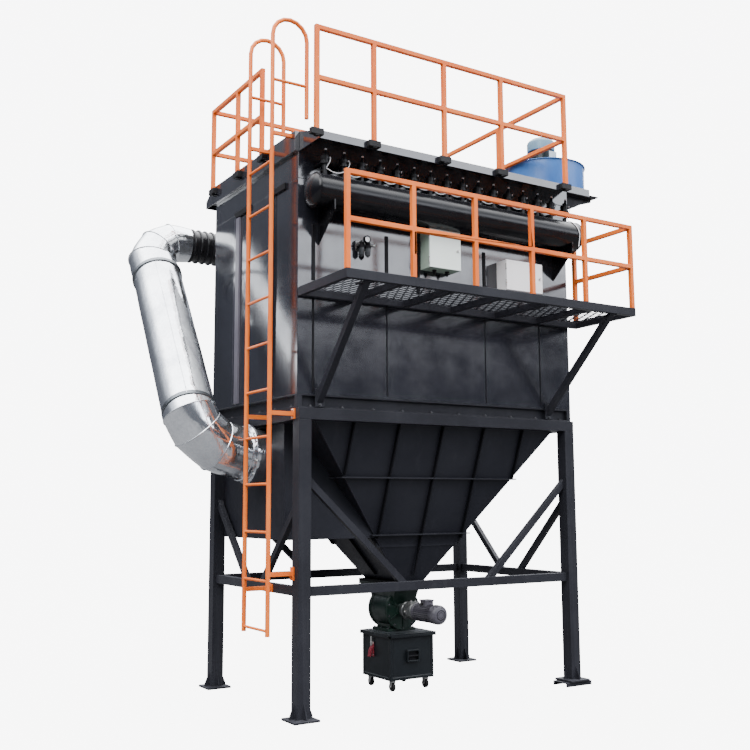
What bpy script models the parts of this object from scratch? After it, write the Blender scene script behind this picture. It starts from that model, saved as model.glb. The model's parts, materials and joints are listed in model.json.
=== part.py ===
"""Baghouse dust collector on braced legs, in metres, +Z up, wide front facing -Y.

Sizes are laid out from the middle of the leg plan, and every piece is then moved so
that the frame's origin lies under the front left foot.
"""
import math

import bmesh
import bpy
from mathutils import Matrix, Vector

# Legs and frame
GAP = 0.0003               # air left where two bodies meet
LEG_X = 1.50               # leg centres, half spacing along the front
LEG_Y = 0.90               # leg centres, half spacing front to rear
LEG_TUBE = 0.12
FOOT_PLATE = 0.24
FOOT_THICK = 0.02
GUSSET_H = 0.16
PACKING_H = 0.04           # packing channel under the front right foot
RING_LOW = 2.48            # underside of the ring beam
RING_H = 0.10
RING_W = 0.10
TIE_TOP = 1.08
TIE_H = 0.08
TIE_W = 0.06
DIAGONAL = 0.06
WIDE_DIAGONAL = (1.96, 0.50)   # height at the leg, foot on the tie from the middle
SIDE_DIAGONAL = (1.77, 0.17)
# Housing and roof
BODY_X = 1.562
BODY_Y = 0.92
BASE_H = 0.12
PLENUM_LOW = 4.60
EAVES_Z = 4.84
ROOF_TOP = 5.02
ROOF_X = 1.60
ROOF_LAP = 0.005
SHEET = 0.012
CANOPY_X = 1.557
LIP_Y = -1.30
LIP_TOP = 4.91
EAVE_OUT = 0.16
WALL = 0.02
STIFFENER_XS = (-1.41, -0.65, -0.30, 0.48, 1.17)
STIFFENER_Z = (3.70, 4.20)
STRIP_YS = (0.38, -0.45)
# Hopper and inlet chamber
HOPPER_TOP = (1.36, 0.86)
HOPPER_TOP_Z = RING_LOW + 0.007
OUTLET = (0.14, 0.30)
OUTLET_Z = 1.02
HOPPER_WALL = 0.012
RIB_DEPTH = 0.045
RIB_THICK = 0.012
RIB_XS = (-0.97, -0.49, 0.0, 0.48, 0.96)
RIB_YS = (-0.43, 0.0, 0.43)
RIB_ZS = (2.0, 1.475)
CHAMBER_X = (-1.455, -0.45)    # left wall, and end behind the hopper
CHAMBER_Y = (-0.47, 0.82)
CHAMBER_LOW = 1.45
WINDOW_Y = 0.44                # half width of the hopper's window to the chamber
WINDOW_Z = (1.60, 2.42)
OUTLET_LIP = 0.05
# Inlet duct
DUCT_AT = (-0.02, 2.22)    # y and z of the bore in the chamber wall
DUCT_R = 0.24
DUCT_WALL = 0.006
RUN_R = 0.18               # flexible sleeve
RUN_AT = (1.42, 4.51)
RISER_LOW = Vector((-2.17, 0.08, 2.72))
RISER_TOP = Vector((-2.07, 1.17, 4.00))
LOW_BENDS = ((-1.66, 0.0, 0.0), (-1.92, -0.02, 0.07), (-2.11, -0.04, 0.21))  # from the bore's axis
HIGH_BENDS = ((-2.08, 1.37, 4.27), (-1.99, 1.415, 4.43))
RUN_START_X = -1.86
SADDLE_X = (-1.225, -1.125)
BAND_H = 0.12
BAND_OUT = 0.012
SLEEVE_X = (-1.678, -0.96)
SLEEVE_RIBS = 9
# Rails, ladder and platform
RAIL = 0.04
RAIL_TOP = 5.83
MID_RAIL = 5.36
FRONT_POSTS = (-1.60, -1.03, -0.27, 0.40, 1.21)
LEFT_POSTS = (-0.30, 0.25, 0.86)
RIGHT_POSTS = (-0.30, 0.86)
REAR_POSTS = (-0.70, 0.25)
DECK_TOP = 3.62
DECK_X = (-1.565, 1.66)
DECK_FRONT = -1.76
DECK_BORDER = 0.078
DECK_BAR = 0.045
DECK_BAYS = 6
DECK_RAIL_TOP = 4.44
DECK_MID = 4.03
DECK_POSTS = (-1.543, -0.906, -0.257, 0.384, 1.033, 1.638)
STRUT_XS = (-1.345, 1.381)     # under the deck
STRUT_LEAN = (0.0, -0.12)      # sideways to the heel
STRUT_REACH = -1.69            # where the strut meets the deck's border
STRUT_HEEL_Z = 2.66
LADDER_X = -1.79
LADDER_Y = (-0.859, -0.396)
LADDER_LOW = 0.69
LADDER_TOP = 4.96
STILE_R = 0.02
RUNG_R = 0.0125
RUNG_PITCH = 0.40
RUNG_FIRST = 0.733
LOOP_R = 0.17
LOOP_BEND_Z = 5.90
LOOP_END_Z = 5.18
LOOP_CROSS_Z = 5.48
# Air header
HEADER_Y = -1.10
HEADER_Z = 4.45
HEADER_R = 0.15
HEADER_X = 1.50
HEADER_DISH = 0.06
VALVE_PITCH = 0.186
VALVE_INSET = 0.10
VALVE_COUNT = int(2 * (HEADER_X - VALVE_INSET) / VALVE_PITCH) + 1
KNEE_XS = (-1.36, 1.38)
STEM_R = 0.022
LINE_R = 0.005                 # pulse air line along the valves
LINE_Z = 4.655
LINE_SAG = 0.03
LINE_TAIL = 0.13               # how far its end hangs below the header's middle
# Rotary valve and dust bin
VALVE_Z = 0.745
VALVE_R = 0.185
VALVE_HALF = 0.15
BIN_AT = (0.015, -0.045)
BIN_HALF = 0.25
BIN_LOW = 0.105
BIN_RIM = 0.52
BIN_SHEET = 0.006
# Fan
FAN_AT = (1.64, -0.50)
FAN_TONGUE_R = 0.355           # the scroll's radius grows from its tongue
FAN_R = 0.47                   # to its outlet side
FAN_H = 0.33
FAN_OUTLET = 0.34              # width of the outlet
FAN_OUTLET_Y = 0.60            # the outlet's flange, behind the wheel's centre
FAN_TRAY = 0.012

SHIFT = Vector((LEG_X, LEG_Y, 0))
NAME = "baghouse_dust_collector"

for item in list(bpy.data.objects):
    bpy.data.objects.remove(item, do_unlink=True)
parts = bpy.data.collections.new(NAME)
cutters = bpy.data.collections.new(NAME + "_cutters")
for group in (parts, cutters):
    bpy.context.scene.collection.children.link(group)


def material(name, colour, metallic, rough):
    made = bpy.data.materials.new(name)
    made.use_nodes = True
    shader = made.node_tree.nodes["Principled BSDF"]
    shader.inputs["Base Color"].default_value = (*colour, 1.0)
    shader.inputs["Metallic"].default_value = metallic
    shader.inputs["Roughness"].default_value = rough
    return made


STEEL = material("frame_paint", (0.035, 0.036, 0.045), 0.2, 0.45)
BODY = material("body_paint", (0.03, 0.031, 0.04), 0.2, 0.4)
ORANGE = material("rail_paint", (0.72, 0.19, 0.04), 0.0, 0.5)
ZINC = material("duct_zinc", (0.55, 0.57, 0.58), 0.9, 0.35)
SLEEVE = material("duct_band", (0.05, 0.05, 0.055), 0.1, 0.6)
BLUE = material("fan_paint", (0.05, 0.16, 0.38), 0.1, 0.4)
MOTOR = material("motor_paint", (0.10, 0.16, 0.16), 0.1, 0.5)
CABINET = material("cabinet_paint", (0.62, 0.66, 0.60), 0.0, 0.5)
GREEN = material("valve_paint", (0.01, 0.03, 0.025), 0.1, 0.4)
BIN = material("bin_paint", (0.03, 0.04, 0.05), 0.1, 0.45)
RED = material("latch_grip", (0.45, 0.03, 0.03), 0.0, 0.5)
GEAR = material("gear_aluminium", (0.5, 0.5, 0.5), 0.9, 0.4)
LINE = material("air_tube", (0.7, 0.7, 0.7), 0.0, 0.4)


def as_mesh(obj):
    """Turn an object into the mesh that its modifiers and curve settings give, welded."""
    graph = bpy.context.evaluated_depsgraph_get()
    mesh = bpy.data.meshes.new_from_object(obj.evaluated_get(graph))
    mesh.transform(obj.matrix_world)
    bpy.data.objects.remove(obj, do_unlink=True)
    bm = bmesh.new()
    bm.from_mesh(mesh)
    bmesh.ops.remove_doubles(bm, verts=bm.verts, dist=0.00002)
    bmesh.ops.recalc_face_normals(bm, faces=bm.faces)
    bm.to_mesh(mesh)
    bm.free()
    return place(mesh)


def place(data):
    """Put a mesh or a curve on the workbench, the cutters' collection."""
    made = bpy.data.objects.new(data.name, data)
    made.hide_render = True
    made.display_type = "WIRE"
    cutters.objects.link(made)
    return made


def box(low, high):
    """Solid box between two corners."""
    low, high = Vector(low), Vector(high)
    size = high - low
    turn = Matrix.Translation((low + high) / 2) @ Matrix.Diagonal((*size, 1.0))
    bm = bmesh.new()
    bmesh.ops.create_cube(bm, size=1.0, matrix=turn)
    mesh = bpy.data.meshes.new("box")
    bm.to_mesh(mesh)
    bm.free()
    return place(mesh)


def flat(outlines, axis, low, high):
    """Flat plate: closed outlines, the first the edge and the rest its holes."""
    curve = bpy.data.curves.new("plate", "CURVE")
    curve.dimensions = "2D"
    curve.fill_mode = "BOTH"
    curve.extrude = (high - low) / 2
    for points in outlines:
        spline = curve.splines.new("POLY")
        spline.points.add(len(points) - 1)
        for point, (a, b) in zip(spline.points, points):
            point.co = (a, b, 0.0, 1.0)
        spline.use_cyclic_u = True
    made = place(curve)
    turns = {
        "x": Matrix(((0, 0, 1), (1, 0, 0), (0, 1, 0))),
        "y": Matrix(((1, 0, 0), (0, 0, -1), (0, 1, 0))),
        "z": Matrix.Identity(3),
    }
    turn = turns[axis]
    middle = (low + high) / 2
    lift = middle * (-1 if axis == "y" else 1)
    made.matrix_world = turn.to_4x4() @ Matrix.Translation((0, 0, lift))
    bpy.context.view_layer.update()
    return as_mesh(made)


def aim(origin, axis):
    """Matrix that stands local +Z along an axis at an origin."""
    turn = Vector((0, 0, 1)).rotation_difference(Vector(axis)).to_matrix().to_4x4()
    return Matrix.Translation(origin) @ turn


def turned(profile, origin, axis, steps=32, ring=False):
    """Turned piece: a profile of (radius, height) points, screwed about the axis."""
    mesh = bpy.data.meshes.new("turned")
    last = len(profile) - 1
    edges = [(i, i + 1) for i in range(last)] + ([(last, 0)] if ring else [])
    mesh.from_pydata([(radius, 0, height) for radius, height in profile], edges, [])
    made = place(mesh)
    screw = made.modifiers.new("turn", "SCREW")
    screw.angle = 2 * math.pi
    screw.steps = steps
    screw.render_steps = steps
    screw.use_merge_vertices = True
    screw.merge_threshold = 0.00001
    made.matrix_world = aim(origin, axis)
    bpy.context.view_layer.update()
    return as_mesh(made)


def drum(radius, low, high, origin, axis, sides=32):
    """Plain cylinder from low to high along an axis."""
    bm = bmesh.new()
    turn = aim(origin, axis) @ Matrix.Translation((0, 0, (low + high) / 2))
    bmesh.ops.create_cone(bm, cap_ends=True, segments=sides, radius1=radius,
                          radius2=radius, depth=high - low, matrix=turn)
    mesh = bpy.data.meshes.new("drum")
    bm.to_mesh(mesh)
    bm.free()
    return place(mesh)


def bent_tube(points, radii, resolution, wall=None):
    """Tube along straight lengths; with a wall it is an open pipe, else a closed bar."""
    points, radii = [Vector(p) for p in points], list(radii)
    if wall is not None:
        for end, inner, at in ((0, 1, 1), (-1, -2, -1)):
            collar = points[end] + (points[inner] - points[end]).normalized() * 0.02
            points.insert(at, collar)
            radii.insert(at, radii[end])
    curve = bpy.data.curves.new("tube", "CURVE")
    curve.dimensions = "3D"
    curve.bevel_depth = 1.0
    curve.bevel_resolution = resolution
    curve.use_fill_caps = wall is None
    spline = curve.splines.new("POLY")
    spline.points.add(len(points) - 1)
    for point, co, radius in zip(spline.points, points, radii):
        point.co = (*co, 1.0)
        point.radius = radius
    made = as_mesh(place(curve))
    if wall is None:
        return made
    solid = made.modifiers.new("wall", "SOLIDIFY")
    solid.thickness = wall
    solid.offset = -1.0
    solid.use_even_offset = True
    bpy.context.view_layer.update()
    return as_mesh(made)


def bar(start, end, radius, resolution=3):
    return bent_tube([start, end], [radius, radius], resolution)


def taper(low_half, low_z, high_half, high_z, middle=(0.0, 0.0)):
    """Four-sided taper from one rectangle (half sizes) up to another."""
    bm = bmesh.new()
    bmesh.ops.create_cube(bm, size=2.0)
    for v in bm.verts:
        half, z = (high_half, high_z) if v.co.z > 0 else (low_half, low_z)
        v.co = Vector((middle[0] + v.co.x * half[0], middle[1] + v.co.y * half[1], z))
    mesh = bpy.data.meshes.new("taper")
    bm.to_mesh(mesh)
    bm.free()
    return place(mesh)


def combine(base, others, operation):
    """Boolean one piece with others, which are used up."""
    for other in others:
        cutter = base.modifiers.new("join", "BOOLEAN")
        cutter.operation = operation
        cutter.solver = "EXACT"
        cutter.object = other
        bpy.context.view_layer.update()
        graph = bpy.context.evaluated_depsgraph_get()
        mesh = bpy.data.meshes.new_from_object(base.evaluated_get(graph))
        base.modifiers.clear()
        base.data = mesh
        bpy.data.objects.remove(other, do_unlink=True)
    return base


def fuse(base, *others):
    return combine(base, others, "UNION")


def cut(base, *others):
    return combine(base, others, "DIFFERENCE")


def finish(made, name, look, smooth=False, origin=None):
    """Name a piece, set its origin and material, and move it to the collector."""
    bm = bmesh.new()
    bm.from_mesh(made.data)
    bmesh.ops.remove_doubles(bm, verts=bm.verts, dist=0.00002)
    bmesh.ops.dissolve_limit(bm, angle_limit=0.002, verts=bm.verts, edges=bm.edges)
    bmesh.ops.recalc_face_normals(bm, faces=bm.faces)
    bm.to_mesh(made.data)
    bm.free()
    if origin is None:
        corners = [Vector(c) for c in made.bound_box]
        origin = (corners[0] + corners[6]) / 2
    made.data.transform(Matrix.Translation(-Vector(origin)))
    made.location = Vector(origin) + SHIFT
    made.name = name
    made.data.name = name
    made.data.materials.clear()
    made.data.materials.append(look)
    if smooth:
        made.data.shade_smooth()
        made.data.set_sharp_from_angle(angle=math.radians(28))
    cutters.objects.unlink(made)
    parts.objects.link(made)
    made.hide_render = False
    made.display_type = "SOLID"
    return made


def slant(start, end, width, first, second):
    """Corners of a slanting bar whose ends are cut on two lines, each (axis, value)."""
    a, b = Vector(start), Vector(end)
    along = (b - a).normalized()
    side = Vector((-along.y, along.x)) * (width / 2)
    corners = []
    for offset, order in ((side, (first, second)), (-side, (second, first))):
        for axis, value in order:
            reach = (value - (a + offset)[axis]) / along[axis]
            corners.append(tuple(a + offset + along * reach))
    return corners


HALF = LEG_TUBE / 2
OUT_X, OUT_Y = LEG_X + HALF, LEG_Y + HALF
IN_X, IN_Y = LEG_X - HALF - GAP, LEG_Y - HALF - GAP
RING_TOP = RING_LOW + RING_H
BASE_TOP = RING_TOP + BASE_H


def make_leg(name, cx, cy, low):
    """Square leg on a foot plate with a gusset on each side, and a cap under the beam."""
    low_corner = (cx - HALF, cy - HALF, low + FOOT_THICK / 2)
    leg = box(low_corner, (cx + HALF, cy + HALF, RING_LOW - GAP))
    half = FOOT_PLATE / 2
    plate = box((cx - half, cy - half, low), (cx + half, cy + half, low + FOOT_THICK))
    fins = []
    for k in (-1, 1):
        near, far = k * (HALF - 0.005), k * (half - 0.01)
        base, top = low + FOOT_THICK / 2, low + GUSSET_H
        fin = [(near, base), (far, base), (far, low + 0.04), (near, top)]
        fins.append(flat([[(cx + a, b) for a, b in fin]], "y", cy - 0.006, cy + 0.006))
        fins.append(flat([[(cy + a, b) for a, b in fin]], "x", cx - 0.006, cx + 0.006))
    finish(fuse(leg, plate, *fins), name, STEEL)


def make_brace(name, axis, centre, reach, diagonal):
    """Tie between two legs with a diagonal up to each, in the plane across an axis."""
    height, foot = diagonal
    bars = []
    for k in (-1, 1):
        corners = slant((k * reach, height), (k * foot, TIE_TOP), DIAGONAL,
                        (0, k * reach), (1, TIE_TOP - 0.02))
        bars.append(flat([corners], axis, centre - 0.025, centre + 0.025))
    low, high = TIE_TOP - TIE_H, TIE_TOP
    if axis == "y":
        tie = box((-reach, centre - TIE_W / 2, low), (reach, centre + TIE_W / 2, high))
    else:
        tie = box((centre - TIE_W / 2, -reach, low), (centre + TIE_W / 2, reach, high))
    finish(fuse(tie, *bars), name, STEEL)


def make_frame():
    for side, sx in (("left", -1), ("right", 1)):
        for place_name, sy in (("front", -1), ("rear", 1)):
            low = PACKING_H if (side, place_name) == ("right", "front") else 0.0
            make_leg(f"leg_{place_name}_{side}", sx * LEG_X, sy * LEG_Y, low)
    x, y = LEG_X, -LEG_Y
    packing = box((x - 0.16, y - 0.10, 0), (x + 0.16, y + 0.10, PACKING_H - GAP))
    trough = box((x - 0.2, y - 0.08, -0.01), (x + 0.2, y + 0.08, PACKING_H - 0.01))
    finish(cut(packing, trough), "packing_channel", STEEL)
    ring = box((-OUT_X, -OUT_Y, RING_LOW), (OUT_X, OUT_Y, RING_TOP))
    x, y = OUT_X - RING_W, OUT_Y - RING_W
    ring = cut(ring, box((-x, -y, RING_LOW - 1), (x, y, RING_TOP + 1)))
    finish(ring, "ring_beam", STEEL)
    make_brace("brace_front", "y", -LEG_Y, IN_X, WIDE_DIAGONAL)
    make_brace("brace_rear", "y", LEG_Y, IN_X, WIDE_DIAGONAL)
    make_brace("brace_left", "x", -LEG_X, IN_Y, SIDE_DIAGONAL)
    make_brace("brace_right", "x", LEG_X, IN_Y, SIDE_DIAGONAL)


def sleeve_box(low, high):
    """Four walls of the housing between two levels, open above and below."""
    shell = box((-BODY_X, -BODY_Y, low), (BODY_X, BODY_Y, high))
    x, y = BODY_X - WALL, BODY_Y - WALL
    return cut(shell, box((-x, -y, low - 1), (x, y, high + 1)))


def make_housing():
    base = box((-BODY_X, -BODY_Y, RING_TOP + GAP), (BODY_X, BODY_Y, BASE_TOP))
    hollow = box((-BODY_X + 0.08, -BODY_Y + 0.08, 2), (BODY_X - 0.08, BODY_Y - 0.08, 3))
    flange, web = 0.014, 0.035
    low, high = RING_TOP + flange, BASE_TOP - flange
    recesses = []
    for k in (-1, 1):
        a, b = sorted((k * (BODY_Y - web), k * (BODY_Y + 0.1)))
        recesses.append(box((-BODY_X + 0.05, a, low), (BODY_X - 0.05, b, high)))
        a, b = sorted((k * (BODY_X - web), k * (BODY_X + 0.1)))
        recesses.append(box((a, -BODY_Y + 0.05, low), (b, BODY_Y - 0.05, high)))
    finish(cut(base, hollow, *recesses), "base_channel", STEEL)
    walls = sleeve_box(BASE_TOP + GAP, PLENUM_LOW)
    bits = []
    low, high = STIFFENER_Z
    for x in STIFFENER_XS:
        bits.append(box((x - 0.015, -BODY_Y - 0.012, low), (x + 0.015, -BODY_Y + 0.01, high)))
    low, high = BASE_TOP + 0.02, PLENUM_LOW - 0.02
    for y in STRIP_YS:
        bits.append(box((-BODY_X - 0.02, y - 0.02, low), (-BODY_X + 0.01, y + 0.02, high)))
    finish(fuse(walls, *bits), "housing", BODY)
    finish(sleeve_box(PLENUM_LOW + GAP, EAVES_Z), "plenum", BODY)


def folded_eave(name, root, edge, wide):
    """Sloping sheet with a drop lip, closed at its left end by a cheek plate."""
    out = 1 if edge > root else -1
    inner = edge - out * SHEET
    fold = [(root, ROOF_TOP), (edge, LIP_TOP), (edge, EAVES_Z), (inner, EAVES_Z),
            (inner, LIP_TOP - SHEET), (root, ROOF_TOP - SHEET)]
    inset = SHEET / 3
    near, far = root + out * inset, edge - out * inset
    cheek = [(near, ROOF_TOP - 2 * inset), (far, LIP_TOP - 2 * inset),
             (far, EAVES_Z + inset), (near, EAVES_Z + inset)]
    sheet = flat([fold], "x", -wide, wide)
    plate = flat([cheek], "x", -wide + 0.001, -wide + SHEET)
    finish(fuse(sheet, plate), name, BODY)


def make_roof():
    front, rear = -BODY_Y - ROOF_LAP, BODY_Y + 4 * ROOF_LAP
    finish(box((-ROOF_X, front, EAVES_Z + GAP), (ROOF_X, rear, ROOF_TOP)), "roof_cap", BODY)
    folded_eave("front_canopy", front - GAP, LIP_Y, CANOPY_X)
    folded_eave("rear_eave", rear + GAP, rear + EAVE_OUT, ROOF_X)


def hopper_half(z):
    """Half sizes of the hopper's outside at a height."""
    t = (HOPPER_TOP_Z - z) / (HOPPER_TOP_Z - OUTLET_Z)
    return tuple(top + (low - top) * t for top, low in zip(HOPPER_TOP, OUTLET))


def rib_foot(index, offset):
    """Height where a rib at an offset along one axis runs out on the hopper's corner."""
    top, low = HOPPER_TOP[index], OUTLET[index]
    z = HOPPER_TOP_Z - (top - abs(offset)) / (top - low) * (HOPPER_TOP_Z - OUTLET_Z)
    return max(z, OUTLET_Z + 0.06)


def inlet_box(grow=0.0):
    """Outside of the inlet chamber, as a block that runs into the hopper."""
    (x0, x1), (y0, y1) = CHAMBER_X, CHAMBER_Y
    return box((x0 - grow, y0 - grow, CHAMBER_LOW - grow), (x1 + grow, y1 + grow, RING_LOW))


def make_hopper():
    """Welded pyramid, ribbed outside, with a window to the chamber at its left."""
    ribs = []
    for z in RIB_ZS:
        hx, hy = (h + RIB_DEPTH for h in hopper_half(z))
        ribs.append(box((-hx, -hy, z - RIB_THICK / 2), (hx, hy, z + RIB_THICK / 2)))
    rib_top, stand, thin = RING_LOW - 0.002, RIB_DEPTH - 0.01, RIB_THICK / 2
    for index, axis, offsets in ((0, "x", RIB_XS), (1, "y", RIB_YS)):
        for at in offsets:
            z = rib_foot(index, at)
            high, low = HOPPER_TOP[1 - index] + stand, hopper_half(z)[1 - index] + stand
            edge = [(-high, rib_top), (high, rib_top), (low, z), (-low, z)]
            ribs.append(flat([edge], axis, at - thin, at + thin))
    ribs = cut(fuse(*ribs), inlet_box(GAP))
    cx, cy = OUT_X - RING_W - GAP, OUT_Y - RING_W - GAP
    collar = box((-cx, -cy, RING_LOW + GAP), (cx, cy, RING_TOP))
    fx, fy = (half + OUTLET_LIP for half in OUTLET)
    flange = box((-fx, -fy, OUTLET_Z - 0.02), (fx, fy, OUTLET_Z + 0.004))
    hopper = fuse(taper(OUTLET, OUTLET_Z, HOPPER_TOP, HOPPER_TOP_Z), ribs, collar, flange)
    foot_z, top_z = OUTLET_Z - 0.03, HOPPER_TOP_Z - 0.005
    low = tuple(half - HOPPER_WALL for half in hopper_half(foot_z))
    high = tuple(half - HOPPER_WALL for half in hopper_half(top_z))
    inside = taper(low, foot_z, high, top_z)
    mouth = box((-high[0], -high[1], top_z - 0.001), (high[0], high[1], RING_TOP + 0.1))
    sill = hopper_half(WINDOW_Z[0])[0] - 2 * HOPPER_WALL
    window = box((-cx, -WINDOW_Y, WINDOW_Z[0]), (-sill, WINDOW_Y, WINDOW_Z[1]))
    finish(cut(hopper, inside, mouth, window), "hopper", STEEL)


def make_chamber():
    """Box chamber that the dusty air enters, closed by the hopper's sloping walls."""
    t = HOPPER_WALL
    (x0, x1), (y0, y1) = CHAMBER_X, CHAMBER_Y
    room = box((x0 + t, y0 + t, CHAMBER_LOW + t), (x1 - t, y1 - t, RING_LOW - t))
    outlet = tuple(half + 2 * GAP for half in OUTLET)
    top = tuple(half + 2 * GAP for half in HOPPER_TOP)
    pyramid = taper(outlet, OUTLET_Z, top, HOPPER_TOP_Z)
    port = drum(DUCT_R - 0.01, 0, 0.1, (x0 - 0.05, *DUCT_AT), (1, 0, 0), 32)
    finish(cut(inlet_box(), room, pyramid, port), "inlet_chamber", STEEL)


def make_valve_and_bin():
    rim, half = VALVE_R + 0.012, VALVE_HALF
    at = (0, 0, VALVE_Z)
    profile = [(0, half + 0.018), (rim, half + 0.018), (rim, half - 0.002), (VALVE_R, half - 0.002),
               (VALVE_R, 0.002 - half), (rim, 0.002 - half), (rim, -half - 0.018), (0.05, -half - 0.018),
               (0.05, -half - 0.04), (0, -half - 0.04)]
    body = turned(profile, at, (0, 1, 0), 32)
    neck = taper((0.12, 0.13), VALVE_Z, (OUTLET[0], 0.26), OUTLET_Z - 0.045)
    seat = OUTLET_Z - 0.02 - GAP
    fx, fy = (half_size + OUTLET_LIP for half_size in OUTLET)
    flange = box((-fx, -fy, seat - 0.03), (fx, fy, seat))
    lid_top = BIN_RIM + 0.02
    foot = box((-0.16, -0.14, lid_top + GAP), (0.16, 0.14, lid_top + 0.025))
    spout = box((-0.12, -0.12, lid_top + 0.02), (0.12, 0.12, VALVE_Z - 0.1))
    finish(fuse(body, neck, flange, foot, spout), "rotary_valve", GREEN, True)
    face = -half - 0.04 - GAP
    joint = -0.42
    gear = [(0, face), (0.065, face), (0.085, face - 0.05), (0.085, joint + 0.02),
            (0.075, joint), (0, joint)]
    finish(turned(gear, at, (0, 1, 0), 28), "valve_gearbox", GEAR, True)
    face = joint - GAP
    motor = [(0, face), (0.07, face), (0.085, face - 0.02), (0.085, -0.70), (0.089, -0.71),
             (0.089, -0.77), (0.06, -0.80), (0, -0.80)]
    box_top = box((-0.05, -0.62, VALVE_Z + 0.05), (0.05, -0.52, VALVE_Z + 0.125))
    finish(fuse(turned(motor, at, (0, 1, 0), 28), box_top), "valve_motor", MOTOR, True)

    x, y = BIN_AT
    h, lip = BIN_HALF, 0.02
    body = box((x - h, y - h, BIN_LOW), (x + h, y + h, BIN_RIM))
    rim = box((x - h - lip, y - h - lip, BIN_RIM - 0.02), (x + h + lip, y + h + lip, BIN_RIM))
    grip = box((x - 0.07, y - h - 0.03, 0.27), (x + 0.07, y - h + 0.005, 0.38))
    grip = cut(grip, box((x - 0.058, y - h - 0.05, 0.30), (x + 0.058, y - h, 0.35)))
    castors = []
    for sx in (-1, 1):
        for sy in (-1, 1):
            spot = (x + sx * (h - 0.06), y + sy * (h - 0.06), 0)
            castors.append(drum(0.032, 0, BIN_LOW + 0.005, spot, (0, 0, 1), 16))
    body = fuse(body, rim, grip, *castors)
    s = BIN_SHEET
    room = box((x - h + s, y - h + s, BIN_LOW + s), (x + h - s, y + h - s, 1))
    finish(cut(body, room), "dust_bin", BIN)
    lid = box((x - h - lip, y - h - lip, BIN_RIM + GAP), (x + h + lip, y + h + lip, lid_top))
    finish(lid, "bin_lid", BIN)
    face = x - h - GAP
    latch = box((face - 0.008, y + 0.035, 0.30), (face, y + 0.095, 0.44))
    edge = [(face - 0.004, 0.41), (face - 0.035, 0.36), (face - 0.045, 0.30),
            (face - 0.033, 0.295), (face - 0.022, 0.345), (face - 0.004, 0.38)]
    lever = flat([edge], "y", y + 0.045, y + 0.085)
    hook = box((face - 0.018, y + 0.055, 0.40), (face - 0.006, y + 0.075, 0.49))
    finish(fuse(latch, lever, hook), "bin_latch", RED)


def make_duct():
    run = (RISER_TOP - RISER_LOW).normalized()
    start = CHAMBER_X[0] - GAP
    y, z = DUCT_AT
    bends = [(x, y + aside, z + lift) for x, aside, lift in LOW_BENDS]
    path = [(start, y, z), *bends, RISER_LOW - run * 0.2, RISER_LOW - run * GAP]
    elbow = bent_tube(path, [DUCT_R] * len(path), 10, DUCT_WALL)
    rim, seat = DUCT_R + 0.035, DUCT_R - 0.003
    ring = [(rim, 0.024), (rim, 0.0), (seat, 0.0), (seat, 0.024)]
    flange = turned(ring, (-1.624, y, z), (1, 0, 0), 28, ring=True)
    finish(fuse(elbow, flange), "duct_lower_elbow", ZINC, True)
    top = (RISER_TOP - RISER_LOW).length - GAP
    outer, inner = DUCT_R + BAND_OUT, DUCT_R - DUCT_WALL
    profile = [(outer, top), (outer, top - BAND_H), (DUCT_R, top - BAND_H),
               (DUCT_R, BAND_H), (outer, BAND_H), (outer, GAP), (inner, GAP), (inner, top)]
    finish(turned(profile, RISER_LOW, run, 24, ring=True), "duct_riser", ZINC, True)
    path = [RISER_TOP, RISER_TOP + run * 0.13, *HIGH_BENDS,
            (RUN_START_X, *RUN_AT), (SLEEVE_X[0] - GAP, *RUN_AT)]
    radii = [DUCT_R, DUCT_R, 0.235, 0.22, 0.20, RUN_R]
    finish(bent_tube(path, radii, 10, DUCT_WALL), "duct_upper_elbow", ZINC, True)
    a, b = SLEEVE_X
    bore, low, high, end = RUN_R - 0.025, RUN_R - 0.012, RUN_R + 0.002, 0.235
    pitch = (b - 0.03 - a) / (SLEEVE_RIBS + 0.5)
    profile = [(bore, a), (low, a)]
    for k in range(SLEEVE_RIBS):
        at = a + pitch * (k + 0.5)
        profile += [(high, at), (low, at + pitch / 2)]
    profile += [(low, b - 0.02), (end, b - 0.02), (end, b), (bore, b)]
    profile.reverse()
    finish(turned(profile, (0, *RUN_AT), (1, 0, 0), 20, ring=True), "duct_connector", SLEEVE, True)
    wall = BODY_Y + GAP
    tip = RUN_AT[0] + 0.14
    x0, x1 = SADDLE_X
    under = RUN_AT[1] - 0.21
    arm = [(wall, under - 0.20), (wall, under), (tip, under), (tip, under - 0.04)]
    arm = flat([arm], "x", x0 + 0.025, x1 - 0.025)
    saddle = box((x0, RUN_AT[0] - 0.12, under - 0.02), (x1, RUN_AT[0] + 0.12, under + 0.06))
    saddle = cut(saddle, drum(high + GAP, x0 - 0.1, x1 + 0.1, (0, *RUN_AT), (1, 0, 0), 20))
    finish(fuse(arm, saddle), "duct_bracket", STEEL)


def rail_bar(axis, low, high, across, z):
    r = RAIL / 2
    if axis == "x":
        return box((low, across - r, z - r), (high, across + r, z + r))
    return box((across - r, low, z - r), (across + r, high, z + r))


def rail_post(x, y, low, high):
    r = RAIL / 2
    return box((x - r, y - r, low), (x + r, y + r, high))


def roof_post(x, y, high):
    """Post that stands in a square socket on the roof."""
    low = ROOF_TOP + GAP
    socket = box((x - 0.05, y - 0.05, low), (x + 0.05, y + 0.05, ROOF_TOP + 0.05))
    return [rail_post(x, y, low, high), socket]


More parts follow.
